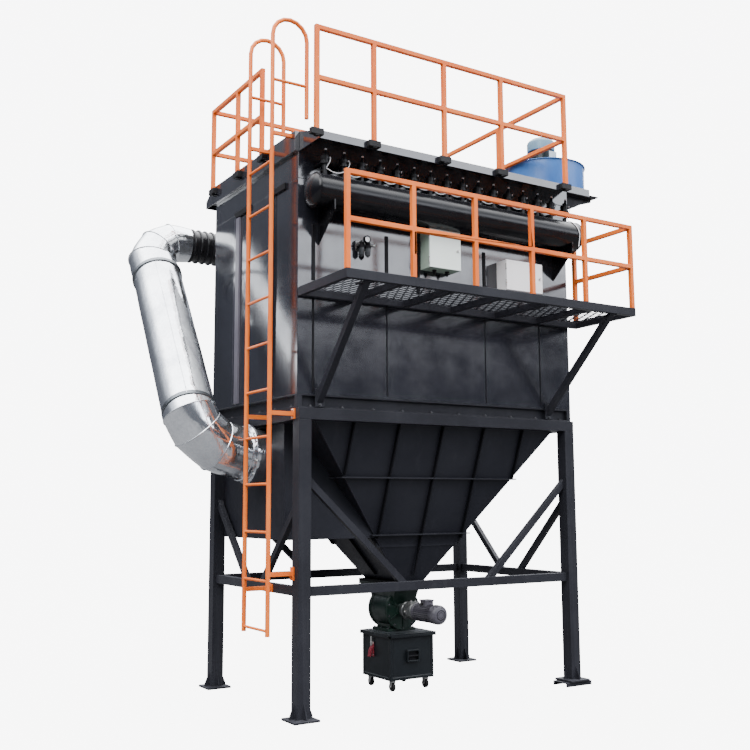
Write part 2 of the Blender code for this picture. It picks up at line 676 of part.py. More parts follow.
def make_roof_rails():
    r = RAIL / 2
    top = RAIL_TOP - r
    foot = LIP_TOP - 0.06
    front = LIP_Y - r - GAP - 0.004
    xs = FRONT_POSTS
    bits = [rail_bar("x", xs[0], xs[-1], front, MID_RAIL)]
    for x in xs:
        bits.append(rail_post(x, front, foot - 0.01, top))
        socket = (x - 0.06, front - r - 0.004, foot)
        bits.append(box(socket, (x + 0.06, LIP_Y - GAP, foot + 0.055)))
    finish(fuse(rail_bar("x", xs[0] - r, xs[-1] + r, front, top), *bits), "roof_rail_front", ORANGE)

    left = -ROOF_X - r - GAP - 0.004
    ys = LEFT_POSTS
    bits = [rail_bar("y", ys[0], ys[-1], left, MID_RAIL)]
    for y in ys:
        bits.append(rail_post(left, y, 4.92, top))
        socket = (left - r - 0.004, y - 0.06, 4.93)
        bits.append(box(socket, (-ROOF_X - GAP, y + 0.06, 4.985)))
    finish(fuse(rail_bar("y", ys[0] - r, ys[-1] + r, left, top), *bits), "roof_rail_left", ORANGE)

    right, start = FRONT_POSTS[-1], front + r + GAP
    ys = RIGHT_POSTS
    bits = [rail_bar("y", start, ys[-1], right, MID_RAIL)]
    for y in ys:
        bits += roof_post(right, y, top)
    finish(fuse(rail_bar("y", start, ys[-1] + r, right, top), *bits), "roof_rail_right", ORANGE)

    rear = LEFT_POSTS[-1]
    a, b = left + r + GAP, right - r - GAP
    bits = [rail_bar("x", a, b, rear, MID_RAIL)]
    for x in REAR_POSTS:
        bits += roof_post(x, rear, top)
    finish(fuse(rail_bar("x", a, b, rear, top), *bits), "roof_rail_rear", ORANGE)


def make_ladder():
    """Ladder with rungs in two stiles, and arms with small plates to the frame."""
    front, rear = LADDER_Y
    foot, head = (LADDER_X, front, LADDER_LOW), (LADDER_X, front, LADDER_TOP)
    first = bar(foot, head, STILE_R, 4)
    bits = [bar((LADDER_X, rear, LADDER_LOW), (LADDER_X, rear, LADDER_TOP), STILE_R, 4)]
    z = RUNG_FIRST
    while z < LADDER_TOP - 0.05:
        bits.append(bar((LADDER_X, front, z), (LADDER_X, rear, z), RUNG_R, 2))
        z += RUNG_PITCH
    leg_face, tie_face = -OUT_X - GAP, -LEG_X - TIE_W / 2 - GAP
    beam_z, tie_z = RING_TOP - RING_H / 2, TIE_TOP - TIE_H / 2
    arms = ((front, tie_z + 0.15, leg_face, 0.055), (rear, tie_z, tie_face, 0.035),
            (front, beam_z, leg_face, 0.045), (rear, beam_z, leg_face, 0.045))
    for y, z, face, plate in arms:
        bits.append(box((LADDER_X, y - 0.018, z - 0.018), (face, y + 0.018, z + 0.018)))
        bits.append(box((face - 0.012, y - 0.03, z - plate), (face, y + 0.03, z + plate)))
    finish(fuse(first, *bits), "ladder", ORANGE, True)
    for name, y in (("front", front), ("rear", rear)):
        make_loop(f"ladder_loop_{name}", y)


def make_loop(name, y):
    """Hand loop above a stile: up, over and down behind it, with a cross and a stay."""
    path = [(LADDER_X, y, LADDER_TOP + GAP), (LADDER_X, y, LOOP_BEND_Z)]
    for k in range(1, 9):
        turn = math.pi * k / 8
        x = LADDER_X + LOOP_R - LOOP_R * math.cos(turn)
        path.append((x, y, LOOP_BEND_Z + LOOP_R * math.sin(turn)))
    far = LADDER_X + 2 * LOOP_R
    path.append((far, y, LOOP_END_Z))
    loop = bent_tube(path, [STILE_R] * len(path), 3)
    cross = bar((LADDER_X, y, LOOP_CROSS_Z), (far, y, LOOP_CROSS_Z), 0.015, 2)
    low = LADDER_TOP + 0.012
    stay = box((LADDER_X, y - 0.015, low), (-ROOF_X - GAP, y + 0.015, low + 0.033))
    finish(fuse(loop, cross, stay), name, ORANGE, True)


def make_platform():
    x0, x1 = DECK_X
    back = -BODY_Y - 0.015
    frame = box((x0, DECK_FRONT, DECK_TOP - DECK_BORDER), (x1, back, DECK_TOP))
    bay = (x1 - x0 - DECK_BAR) / DECK_BAYS
    b = DECK_BAR
    holes = []
    for k in range(DECK_BAYS):
        a = x0 + b + k * bay
        holes.append(box((a, DECK_FRONT + b, 3), (a + bay - b, back - b, 4)))
    seat = box((x0 + 0.008, DECK_FRONT + 0.008, DECK_TOP - 0.02), (x1 - 0.008, back - 0.008, 4))
    finish(cut(frame, *holes, seat), "platform_frame", STEEL)
    make_deck(x0 + 0.0085, x1 - 0.0085, DECK_FRONT + 0.0085, back - 0.0085)
    make_struts()
    r = RAIL / 2
    y = DECK_FRONT + r + 0.003
    top = DECK_RAIL_TOP - r
    xs = DECK_POSTS
    bits = [rail_bar("x", xs[0], xs[-1], y, DECK_MID)]
    bits += [rail_post(x, y, DECK_TOP + GAP, top) for x in xs]
    finish(fuse(rail_bar("x", xs[0] - r, xs[-1] + r, y, top), *bits), "platform_rail_front", ORANGE)
    side, a, b = xs[-1], y + r + GAP, back - 0.01
    bits = [rail_bar("y", a, b, side, DECK_MID), rail_post(side, b - r, DECK_TOP + GAP, top)]
    finish(fuse(rail_bar("y", a, b, side, top), *bits), "platform_rail_right", ORANGE)


def make_struts():
    """Slanting struts from the housing's foot to the deck's border, on small plates."""
    top, wall = DECK_TOP - DECK_BORDER - GAP, -BODY_Y - GAP
    for name, x, lean in zip(("left", "right"), STRUT_XS, STRUT_LEAN):
        line = slant((STRUT_REACH, top), (wall, STRUT_HEEL_Z), 0.06, (1, top), (0, wall))
        strut = flat([line], "x", x - 0.03, x + 0.03)
        shear = Matrix.Identity(4)
        shear[0][2] = -lean / (top - STRUT_HEEL_Z)
        shear[0][3] = -shear[0][2] * top
        strut.data.transform(shear)
        pad = box((x - 0.045, STRUT_REACH - 0.05, top - 0.01), (x + 0.045, STRUT_REACH + 0.09, top))
        x, z = x + lean, STRUT_HEEL_Z
        heel = box((x - 0.045, wall - 0.012, z - 0.07), (x + 0.045, wall, z + 0.09))
        finish(fuse(strut, pad, heel), f"platform_strut_{name}", STEEL)


def make_deck(x0, x1, y0, y1):
    """Opened sheet: rows of long diamonds, each row set half a pitch on."""
    rings = [[(x0, y0), (x1, y0), (x1, y1), (x0, y1)]]
    pitch, rise = 0.16, 0.135
    half_x, half_y = 0.055, 0.105
    row, y = 0, y0 + 0.15
    while y < y1 - 0.13:
        x = x0 + 0.09 + (pitch / 2 if row % 2 else 0)
        while x < x1 - 0.07:
            rings.append([(x - half_x, y), (x, y - half_y), (x + half_x, y), (x, y + half_y)])
            x += pitch
        y += rise
        row += 1
    low = DECK_TOP - 0.02 + GAP
    finish(flat(rings, "z", low, low + 0.008), "platform_deck", STEEL)


def make_header():
    """Air receiver with dished ends, its pulse valves, blow pipes and knee brackets."""
    r, x, d = HEADER_R, HEADER_X, HEADER_DISH
    half = [(r, 0.0), (r * 0.92, d * 0.3), (r * 0.6, d * 0.75), (0.0, d)]
    profile = [(radius, x + h) for radius, h in reversed(half)]
    profile += [(radius, -x - h) for radius, h in half]
    tank = turned(profile, (0, HEADER_Y, HEADER_Z), (1, 0, 0), 28)
    bits = []
    for k in range(VALVE_COUNT):
        at = ((k - (VALVE_COUNT - 1) / 2) * VALVE_PITCH, HEADER_Y, HEADER_Z)
        bits.append(drum(STEM_R, r - 0.03, r + 0.12, at, (0, 0, 1), 8))
        bits.append(drum(0.042, r + 0.10, r + 0.17, at, (0, 0, 1), 10))
        pipe_at = (at[0], HEADER_Y, HEADER_Z + r + 0.125)
        bits.append(drum(0.02, 0.02, -BODY_Y - GAP - HEADER_Y, pipe_at, (0, 1, 0), 8))
    w = -BODY_Y - GAP
    for knee in KNEE_XS:
        edge = [(w, 4.02), (w, 4.36), (HEADER_Y - 0.12, 4.36), (HEADER_Y - 0.12, 4.27)]
        bits.append(flat([edge], "x", knee - 0.006, knee + 0.006))
    finish(fuse(tank, *bits), "air_header", BODY, True)
    make_line()


def make_line():
    """Air line that sags from valve stem to valve stem, with a loose tail at its end."""
    y = HEADER_Y - STEM_R - LINE_R - GAP
    first = -(VALVE_COUNT - 1) / 2 * VALVE_PITCH
    path = []
    for k in range(VALVE_COUNT):
        x = first + k * VALVE_PITCH
        path += [(x, y, LINE_Z), (x + VALVE_PITCH / 2, y - LINE_R, LINE_Z - LINE_SAG)]
    path.pop()
    x = first + (VALVE_COUNT - 1) * VALVE_PITCH
    step = math.radians(18)
    reach = (HEADER_R + LINE_R + GAP) / math.cos(step / 2)
    for k in range(5):
        turn = step * (4 - k)
        at = (HEADER_Y - reach * math.cos(turn), HEADER_Z + reach * math.sin(turn))
        path.append((x + LINE_TAIL * 0.05 * (k + 1), *at))
    path.append((x + LINE_TAIL * 0.35, HEADER_Y - reach, HEADER_Z - LINE_TAIL))
    finish(bent_tube(path, [LINE_R] * len(path), 1), "pulse_air_line", LINE, True)


def make_regulator():
    wall = -BODY_Y
    plate = box((-0.98, wall - 0.10, 4.02), (-0.86, wall - GAP, 4.07))
    bowl = drum(0.035, 0, 0.12, (-0.92, wall - 0.05, 3.96), (0, 0, 1), 16)
    gauge = drum(0.045, 0, 0.03, (-0.92, wall - 0.085, 4.11), (0, -1, 0), 20)
    neck = box((-0.935, wall - 0.10, 4.05), (-0.905, wall - 0.06, 4.13))
    tap = drum(0.02, 0, 0.05, (-0.88, wall - 0.06, 4.06), (0, 0, 1), 12)
    finish(fuse(plate, bowl, gauge, neck, tap), "filter_regulator", GEAR, True)


def make_cabinet(name, x0, x1, z0, z1, depth=0.145, skin=0.012):
    """Wall box with a door that swings on its left edge."""
    rear = -BODY_Y - GAP
    face = rear - depth
    shell = box((x0, face, z0), (x1, rear, z1))
    room = box((x0 + skin, face - 1, z0 + skin), (x1 - skin, rear - skin, z1 - skin))
    finish(cut(shell, room), name, CABINET)
    half = (z1 - z0) / 2
    pin = Vector((x0 - 0.008, face - 0.012, z0 + half))
    door = box((x0 - 0.006, face - 0.018, z0 + 0.002), (x1 - 0.002, face - GAP, z1 - 0.002))
    lock = drum(0.012, 0, 0.02, (x1 - 0.04, face - 0.014, z0 + half), (0, -1, 0), 14)
    knuckles = []
    for at in (0.07 - half, half - 0.07):
        knuckles.append(drum(0.0075, at - 0.03, at + 0.03, pin, (0, 0, 1), 12))
    finish(fuse(door, lock, *knuckles), name + "_door", CABINET, origin=pin)


def make_fan():
    """Roof fan on a tray with gussets: a spiral housing with the motor upright on it."""
    x, y = FAN_AT
    z = ROOF_TOP + GAP
    reach = x + FAN_R - 0.03
    tray = box((x - 0.38, y - 0.40, z), (reach, y + 0.40, z + FAN_TRAY))
    wall, mid = ROOF_X + GAP, z + FAN_TRAY / 2
    edge = [(wall, mid), (reach - 0.02, mid), (reach - 0.02, z - 0.03), (wall, z - 0.17)]
    gussets = [flat([edge], "y", at - 0.01, at + 0.01) for at in (y - 0.3, y + 0.3)]
    finish(fuse(tray, *gussets), "fan_bracket", STEEL)
    z += FAN_TRAY + GAP
    tongue, sweep, steps = math.radians(60), math.radians(300), 40
    spiral = []
    for k in range(steps + 1):
        turn = tongue + sweep * k / steps
        radius = FAN_TONGUE_R + (FAN_R - FAN_TONGUE_R) * k / steps
        spiral.append((x + radius * math.cos(turn), y + radius * math.sin(turn)))
    end = y + FAN_OUTLET_Y
    outlet = [(x + FAN_R, end), (x + FAN_R - FAN_OUTLET, end)]
    body = flat([spiral + outlet], "z", z, z + FAN_H)
    lip = 0.02
    flange = box((x + FAN_R - FAN_OUTLET - lip, end - 0.02, z), (x + FAN_R + lip, end, z + FAN_H + lip))
    finish(fuse(body, flange), "fan_scroll", BLUE, True)
    z += FAN_H + GAP
    profile = [(0, 0.36), (0.10, 0.345), (0.15, 0.30), (0.15, 0.21), (0.135, 0.20),
               (0.135, 0.03), (0.16, 0.02), (0.16, 0.0), (0, 0.0)]
    terminal = box((x - 0.06, y - 0.19, z + 0.06), (x + 0.06, y - 0.12, z + 0.17))
    finish(fuse(turned(profile, (x, y, z), (0, 0, 1), 28), terminal), "fan_motor", MOTOR, True)


make_frame()
make_housing()
make_roof()
make_hopper()
make_chamber()
make_valve_and_bin()
make_duct()
make_roof_rails()
make_ladder()
make_platform()
make_header()
make_regulator()
make_cabinet("control_cabinet", -0.27, 0.08, 3.93, 4.30)
make_cabinet("junction_box", 0.64, 1.09, 3.82, 4.12)
make_fan()
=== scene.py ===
"""Looks of a baghouse dust collector: finishes, fine shapes, studio and camera.

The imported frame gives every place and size. What is measured from the middle of the
leg plan goes through Plan.at, which turns it into the frame's own coordinates.
"""
import json
import logging
import math
from dataclasses import dataclass
from enum import Enum
from typing import Callable, Iterable, Optional, Sequence

import bmesh
import bpy
from mathutils import Matrix, Vector

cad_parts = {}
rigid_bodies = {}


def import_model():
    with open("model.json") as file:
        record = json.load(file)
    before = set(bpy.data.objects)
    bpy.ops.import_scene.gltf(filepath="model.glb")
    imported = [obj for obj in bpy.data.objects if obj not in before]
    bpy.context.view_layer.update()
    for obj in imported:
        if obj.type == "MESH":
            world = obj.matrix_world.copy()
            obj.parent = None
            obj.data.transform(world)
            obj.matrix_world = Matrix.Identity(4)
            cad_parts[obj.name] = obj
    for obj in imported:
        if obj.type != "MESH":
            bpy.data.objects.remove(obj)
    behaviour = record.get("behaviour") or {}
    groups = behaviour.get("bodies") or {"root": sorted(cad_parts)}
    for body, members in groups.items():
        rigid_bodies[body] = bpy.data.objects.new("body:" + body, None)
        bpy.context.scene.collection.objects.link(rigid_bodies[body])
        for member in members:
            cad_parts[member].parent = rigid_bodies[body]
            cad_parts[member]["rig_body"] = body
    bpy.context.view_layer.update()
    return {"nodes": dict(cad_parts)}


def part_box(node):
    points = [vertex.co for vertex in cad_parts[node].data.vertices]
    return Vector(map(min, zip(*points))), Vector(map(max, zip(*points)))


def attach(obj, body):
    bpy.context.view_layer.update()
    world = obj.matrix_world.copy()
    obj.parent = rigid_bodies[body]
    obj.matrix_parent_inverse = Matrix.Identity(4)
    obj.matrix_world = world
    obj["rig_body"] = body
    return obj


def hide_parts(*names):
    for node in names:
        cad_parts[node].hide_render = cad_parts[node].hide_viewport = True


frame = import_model()

LOG = logging.getLogger("dust_collector")
STEEL_BODY = "collector"
LOOK = "look_"                 # sets these materials' names apart from the frame's own
GAP = 0.0003                   # between a piece and its seat, as in the CAD
WELD = 0.00005                 # corners nearer than this are one
FLAT = 0.002                   # faces that meet under this angle are one
AXIS = 1e-6                    # a radius under this is on the axis
SHY = 0.001                    # how far a sheet stays inside the rims that cover it
UP, DOWN, FRONT, BACK = (0, 0, 1), (0, 0, -1), (0, -1, 0), (0, 1, 0)
LEFT, RIGHT = (-1, 0, 0), (1, 0, 0)
COAT_ROUGHNESS = 0.08
ROUND_ANGLE = math.radians(32)  # edges over this are rounded
CHIP_COLOUR = (0.035, 0.03, 0.03)
Point = Sequence[float]
Triple = tuple[float, float, float]
Colour = Triple
Pair = tuple[float, float]
Outline = Sequence[Pair]
Socket = bpy.types.NodeSocket
Thing = bpy.types.Object
Material = bpy.types.Material


class Plan:
    """Turns measures from the middle of the leg plan into frame coordinates."""

    low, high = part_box("ring_beam")
    middle = Vector(((low.x + high.x) / 2, (low.y + high.y) / 2, 0.0))

    @classmethod
    def at(cls, x: float, y: float, z: float) -> Vector:
        """Return the frame point for a point measured from the plan's middle."""
        return Vector((x, y, z)) + cls.middle


# Node trees and finishes


class NodeTree:
    """Short calls for a tree of nodes."""

    nodes: bpy.types.Nodes
    links: bpy.types.NodeLinks

    def feed(self, socket: Socket, value: object) -> None:
        """Link an output to a socket, or set the socket.

        Args:
            socket: The socket to feed.
            value: An output, a number or a colour.
        """
        if isinstance(value, Socket):
            self.links.new(value, socket)
        elif isinstance(value, tuple) and len(value) == 3 and socket.type == "RGBA":
            socket.default_value = (*value, 1.0)
        else:
            socket.default_value = value

    def node(self, kind: str, settings: Optional[dict] = None, out: object = 0,
             **inputs: object) -> Socket:
        """Add a node.

        Args:
            kind: The node's type.
            settings: Its properties.
            out: Which output to return, by name or index.
            **inputs: Its inputs by name with underscores for spaces, or by index as i0, i1.

        Returns:
            The output.
        """
        made = self.nodes.new(kind)
        for key, value in (settings or {}).items():
            setattr(made, key, value)
        for key, value in inputs.items():
            by_index = key[0] == "i" and key[1:].isdigit()
            self.feed(made.inputs[int(key[1:]) if by_index else key.replace("_", " ")], value)
        return made.outputs[out]

    def math(self, kind: str, first: object, second: object = 0.0) -> Socket:
        """Return a Math node's result."""
        return self.node("ShaderNodeMath", {"operation": kind}, i0=first, i1=second)


class ShaderTree(NodeTree):
    """A material's node tree with short calls for the nodes that the finishes use."""

    def __init__(self, name: str) -> None:
        """Start a material with its own shader.

        Args:
            name: The material's name.
        """
        self.material = bpy.data.materials.new(LOOK + name)
        self.adopt(self.material, "Object")
        self.shader = self.nodes["Principled BSDF"]

    def adopt(self, owner: bpy.types.ID, place: str) -> None:
        """Work in an owner's node tree.

        Args:
            owner: The material or world.
            place: The kind of coordinates that its patterns lie on.
        """
        owner.use_nodes = True
        self.nodes = owner.node_tree.nodes
        self.links = owner.node_tree.links
        self.place = self.node("ShaderNodeTexCoord", None, place)

    def stretched(self, scale: Point) -> Socket:
        """Stretch the coordinates.

        Args:
            scale: The scale for each axis.

        Returns:
            The stretched coordinates.
        """
        return self.node("ShaderNodeMapping", Vector=self.place, Scale=scale)

    def noise(self, scale: float, detail: float = 4.0, rough: float = 0.55,
              stretch: Point = (1.0, 1.0, 1.0)) -> Socket:
        """Return fractal noise.

        Args:
            scale: Lumps to the metre.
            detail: Octaves.
            rough: Weight of the finer octaves.
            stretch: Scale for each axis.

        Returns:
            The noise's value, about 0.5 on the whole.
        """
        return self.node("ShaderNodeTexNoise", None, "Fac", Vector=self.stretched(stretch),
                         Scale=scale, Detail=detail, Roughness=rough)

    def cells(self, scale: float) -> Socket:
        """Return a random colour for each cell of a Voronoi pattern.

        Args:
            scale: Cells to the metre.

        Returns:
            The colours.
        """
        place = self.stretched((1.0, 1.0, 1.0))
        return self.node("ShaderNodeTexVoronoi", None, "Color", Vector=place, Scale=scale)

    def spread(self, value: Socket, low: float, high: float,
               to_low: float = 0.0, to_high: float = 1.0) -> Socket:
        """Spread a value from one range to another, and hold it inside.

        Args:
            value: The value.
            low: Where the first range starts.
            high: Where it ends.
            to_low: What its start becomes.
            to_high: What its end becomes.

        Returns:
            The spread value.
        """
        return self.node("ShaderNodeMapRange", {"interpolation_type": "SMOOTHSTEP"},
                         Value=value, From_Min=low, From_Max=high, To_Min=to_low, To_Max=to_high)

    def blend(self, share: object, first: object, second: object) -> Socket:
        """Mix two colours.

        Args:
            share: How much of the second one there is.
            first: A colour or an output.
            second: Another one.

        Returns:
            The mixed colour.
        """
        return self.node("ShaderNodeMix", {"data_type": "RGBA"}, 2, Factor=share, i6=first,
                         i7=second)

    def facing_up(self) -> Socket:
        """Measure how far a surface faces up.

        Returns:
            The share, from -1 to 1.
        """
        normal = self.node("ShaderNodeNewGeometry", None, "Normal")
        return self.node("ShaderNodeSeparateXYZ", None, "Z", Vector=normal)

    def bump(self, height: Socket, strength: float, distance: float,
             under: Optional[Socket] = None) -> Socket:
        """Bump the surface.

        Args:
            height: The bump's pattern.
            strength: How much of it shows.
            distance: Its height in metres.
            under: A normal that it lies on.

        Returns:
            The bumped normal.
        """
        base = {} if under is None else {"Normal": under}
        return self.node("ShaderNodeBump", None, "Normal", Strength=strength, Distance=distance,
                         Height=height, **base)

    def close(self, colour: object, metallic: float, roughness: object,
              normal: Optional[Socket], coat: float = 0.0,
              level: float = 0.5) -> Material:
        """Feed the shader.

        Args:
            colour: The base colour.
            metallic: 1 for bare metal.
            roughness: The roughness.
            normal: The bumped normal, if it has one.
            coat: Weight of a clear coat.
            level: Strength of the plain reflection.

        Returns:
            The finished material.
        """
        for key, value in (("Base Color", colour), ("Metallic", metallic),
                           ("Specular IOR Level", level), ("Roughness", roughness),
                           ("Coat Weight", coat), ("Coat Roughness", COAT_ROUGHNESS)):
            self.feed(self.shader.inputs[key], value)
        if normal is not None:
            self.links.new(normal, self.shader.inputs["Normal"])
        return self.material


class SkyTree(ShaderTree):
    """A world's node tree, with the look's rise and its turn from the front."""

    def __init__(self, world: bpy.types.World) -> None:
        """Start on a world.

        Args:
            world: The world.
        """
        self.adopt(world, "Generated")
        split = self.nodes.new("ShaderNodeSeparateXYZ")
        self.links.new(self.place, split.inputs[0])
        aside, back, self.rise = split.outputs
        self.ahead = self.math("MULTIPLY", back, -1.0)
        self.turn = self.math("ARCTAN2", aside, self.ahead)

    def window(self, middle: float, half: float, soft: float) -> Socket:
        """Return 1 inside a span of turns and 0 outside, in degrees, with soft sides."""
        off = self.math("ABSOLUTE", self.math("SUBTRACT", self.turn, math.radians(middle)), 0.0)
        return self.spread(off, math.radians(half - soft), math.radians(half + soft), 1.0, 0.0)


@dataclass(frozen=True)
class Paint:
    """Sprayed paint with soft shade changes, dust on top faces and rain streaks."""

    name: str
    colour: Colour
    worn: Colour
    gloss: Pair = (0.30, 0.45)
    dust: Colour = (0.25, 0.25, 0.26)
    dust_share: float = 0.35
    streaks: float = 0.25
    chips: float = 0.0
    coat: float = 0.0
    peel: float = 0.15
    level: float = 0.5

    def build(self) -> Material:
        """Mix the paint from a cloudy shade, streaks, settled dust and chips.

        Returns:
            Its material.
        """
        t = ShaderTree(self.name)
        cloud = t.noise(1.3, 5.0, 0.6)
        colour = t.blend(t.spread(cloud, 0.35, 0.68), self.colour, self.worn)
        if self.streaks:
            runs = t.noise(1.0, 6.0, 0.7, (9.0, 9.0, 0.55))
            share = t.spread(runs, 0.52, 0.78, 0.0, self.streaks)
            colour = t.blend(share, colour, self.dust)
        settled = t.math("MULTIPLY", t.spread(t.facing_up(), 0.35, 0.95, 0.0, self.dust_share),
                        t.spread(t.noise(5.0, 6.0, 0.7), 0.25, 0.65))
        colour = t.blend(settled, colour, self.dust)
        if self.chips:
            spots = t.noise(38.0, 3.0, 0.8)
            gate = t.noise(2.1, 3.0, 0.6)
            marks = t.spread(spots, 0.66, 0.70)
            mask = t.math("MULTIPLY", marks, t.spread(gate, 0.5, 0.62, 0.0, self.chips))
            colour = t.blend(mask, colour, CHIP_COLOUR)
        sheen = t.spread(t.noise(3.4, 6.0, 0.65), 0.3, 0.7, *self.gloss)
        fine = t.bump(t.noise(230.0, 2.0, 0.5), self.peel, 0.0006)
        normal = t.bump(t.noise(2.2, 3.0, 0.5), 0.25, 0.006, fine)
        return t.close(colour, 0.0, sheen, normal, self.coat, self.level)


@dataclass(frozen=True)
class Zinc:
    """Galvanised sheet: crystals, crinkles along the run and a few dull patches."""

    name: str
    colour: Colour
    dull: Colour
    gloss: Pair = (0.07, 0.20)
    crinkle: float = 0.38

    def build(self) -> Material:
        """Lay crystals and dull patches over the bare sheet.

        Returns:
            Its material.
        """
        t = ShaderTree(self.name)
        crystal = t.node("ShaderNodeSeparateColor", i0=t.cells(70.0))
        patches = t.spread(t.noise(2.4, 6.0, 0.65), 0.42, 0.72)
        tone = t.math("ADD", t.math("MULTIPLY", crystal, 0.35), t.math("MULTIPLY", patches, 0.5))
        colour = t.blend(tone, self.colour, self.dull)
        sheen = t.spread(tone, 0.0, 0.85, *self.gloss)
        wrinkle = t.noise(9.0, 4.0, 0.55, (1.0, 1.0, 0.35))
        normal = t.bump(wrinkle, self.crinkle, 0.012)
        return t.close(colour, 0.95, sheen, normal)


@dataclass(frozen=True)
class Plain:
    """Cast, moulded or plated stuff with a cloudy colour and a fine grain."""

    name: str
    colour: Colour
    worn: Colour
    metallic: float = 0.0
    gloss: Pair = (0.35, 0.55)
    grain: float = 0.25
    grain_scale: float = 160.0
    level: float = 0.5

    def build(self) -> Material:
        """Cloud the colour and grain the surface.

        Returns:
            Its material.
        """
        t = ShaderTree(self.name)
        colour = t.blend(t.spread(t.noise(14.0, 5.0, 0.65), 0.35, 0.68), self.colour, self.worn)
        sheen = t.spread(t.noise(22.0, 4.0, 0.6), 0.3, 0.7, *self.gloss)
        normal = t.bump(t.noise(self.grain_scale, 3.0, 0.6), self.grain, 0.0008)
        return t.close(colour, self.metallic, sheen, normal, level=self.level)


